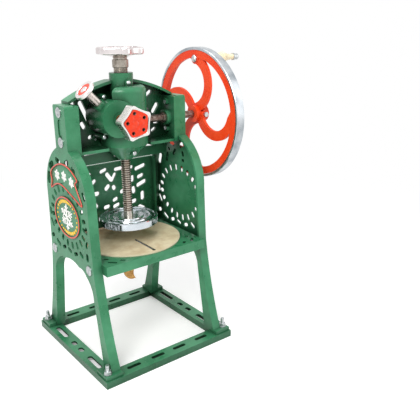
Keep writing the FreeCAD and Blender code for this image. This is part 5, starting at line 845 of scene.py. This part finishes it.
def makeCamera(look):
    # looks along its yaw and pitch, then rolls about that line
    data = bpy.data.cameras.new("camera")
    data.lens = look["lens"]
    data.sensor_width = 36.0
    camera = bpy.data.objects.new("camera", data)
    bpy.context.scene.collection.objects.link(camera)
    yaw, pitch = math.radians(look["yaw"]), math.radians(look["pitch"])
    forward = Vector((math.sin(yaw) * math.cos(pitch), math.cos(yaw) * math.cos(pitch),
                      -math.sin(pitch)))
    right = Vector((math.cos(yaw), -math.sin(yaw), 0))
    turn = Matrix((right, right.cross(forward), -forward)).transposed()
    roll = Matrix.Rotation(math.radians(look["roll"]), 3, "Z")
    camera.matrix_world = Matrix.Translation(look["place"]) @ (turn @ roll).to_4x4()
    bpy.context.scene.camera = camera


stageLook = {
    "floorColour": "#FAFAFA", "floorReach": 9,
    "fadeFrom": 0.7, "fadeTo": 1.6,  # the floor turns into the plain background
    "floorLift": 0.22,  # light of its own that the camera sees, so that white stays white
    "backdrop": "#FFFFFF", "worldLight": 0.36,
    "aim": (0.05, 0, 0.35),  # where the lamps point
    "lamps": [
        {"name": "keyLamp", "place": (-1.5, -1.5, 2.2), "size": 1.6, "power": 66.0},
        {"name": "fillLamp", "place": (1.8, -1.4, 1.2), "size": 2.0, "power": 8.0},
        {"name": "topLamp", "place": (0.1, 0.3, 2.4), "size": 1.5, "power": 22.0},
    ],
}


def makeFloor(look):
    # a plain pale floor that keeps the shadow near the object and is white further away
    data = bpy.data.meshes.new("floor")
    far = look["floorReach"]
    data.from_pydata([(-far, -far, 0), (far, -far, 0), (far, far, 0), (-far, far, 0)], [],
                     [(0, 1, 2, 3)])
    floor = bpy.data.objects.new("floor", data)
    bpy.context.scene.collection.objects.link(floor)
    material, tree, shader, place = startMaterial("plain pale floor")
    shader.inputs["Base Color"].default_value = toLinear(look["floorColour"])
    shader.inputs["Roughness"].default_value = 0.7
    distance = addNode(tree, "ShaderNodeVectorMath", {"operation": "LENGTH"}, {
        0: (place, "Object")})
    fade = addNode(tree, "ShaderNodeMapRange", {"interpolation_type": "SMOOTHSTEP"}, {
        "Value": (distance, "Value"), "From Min": look["fadeFrom"], "From Max": look["fadeTo"]})
    rays = addNode(tree, "ShaderNodeLightPath")
    watched = addNode(tree, "ShaderNodeMath", {"operation": "MAXIMUM"}, {
        0: (rays, "Is Camera Ray"), 1: (rays, "Is Glossy Ray")})
    seen = addNode(tree, "ShaderNodeMath", {"operation": "MULTIPLY"}, {
        0: (fade, "Result"), 1: (watched, "Value")})
    lift = addNode(tree, "ShaderNodeMath", {"operation": "MULTIPLY"}, {
        0: (rays, "Is Camera Ray"), 1: look["floorLift"]})
    tree.links.new(lift.outputs["Value"], shader.inputs["Emission Strength"])
    white = addNode(tree, "ShaderNodeEmission", None, {"Strength": 1.0})
    mixed = addNode(tree, "ShaderNodeMixShader", None, {
        "Fac": (seen, "Value"), 1: (shader, "BSDF"), 2: (white, "Emission")})
    output = next(node for node in tree.nodes if node.type == "OUTPUT_MATERIAL")
    tree.links.new(mixed.outputs["Shader"], output.inputs["Surface"])
    data.materials.append(material)


def makeLight(look):
    # a white backdrop that lights the object softly, and three lamps
    world = bpy.data.worlds.new("studio")
    bpy.context.scene.world = world
    world.use_nodes = True
    tree = world.node_tree
    tree.nodes.clear()
    rays = addNode(tree, "ShaderNodeLightPath")
    camera = addNode(tree, "ShaderNodeMath", {"operation": "MAXIMUM"}, {
        0: (rays, "Is Camera Ray"), 1: (rays, "Is Glossy Ray")})
    shown = addNode(tree, "ShaderNodeMath", {"operation": "MAXIMUM"}, {
        0: (camera, "Value"), 1: (rays, "Is Transmission Ray")})
    strength = addNode(tree, "ShaderNodeMapRange", None, {
        "Value": (shown, "Value"), "To Min": look["worldLight"], "To Max": 1.0})
    back = addNode(tree, "ShaderNodeBackground", None, {
        "Color": toLinear(look["backdrop"]), "Strength": (strength, "Result")})
    addNode(tree, "ShaderNodeOutputWorld", None, {"Surface": (back, "Background")})
    for lamp in look["lamps"]:
        data = bpy.data.lights.new(lamp["name"], "AREA")
        data.shape = "DISK"
        data.size = lamp["size"]
        data.energy = lamp["power"]
        light = bpy.data.objects.new(lamp["name"], data)
        aim = Vector(look["aim"]) - Vector(lamp["place"])
        light.rotation_euler = aim.to_track_quat("-Z", "Y").to_euler()
        light.location = lamp["place"]
        bpy.context.scene.collection.objects.link(light)


makeCamera(viewPoint)
makeFloor(stageLook)
makeLight(stageLook)
bpy.context.scene.view_settings.view_transform = "Standard"
print("camera, floor and light ready")
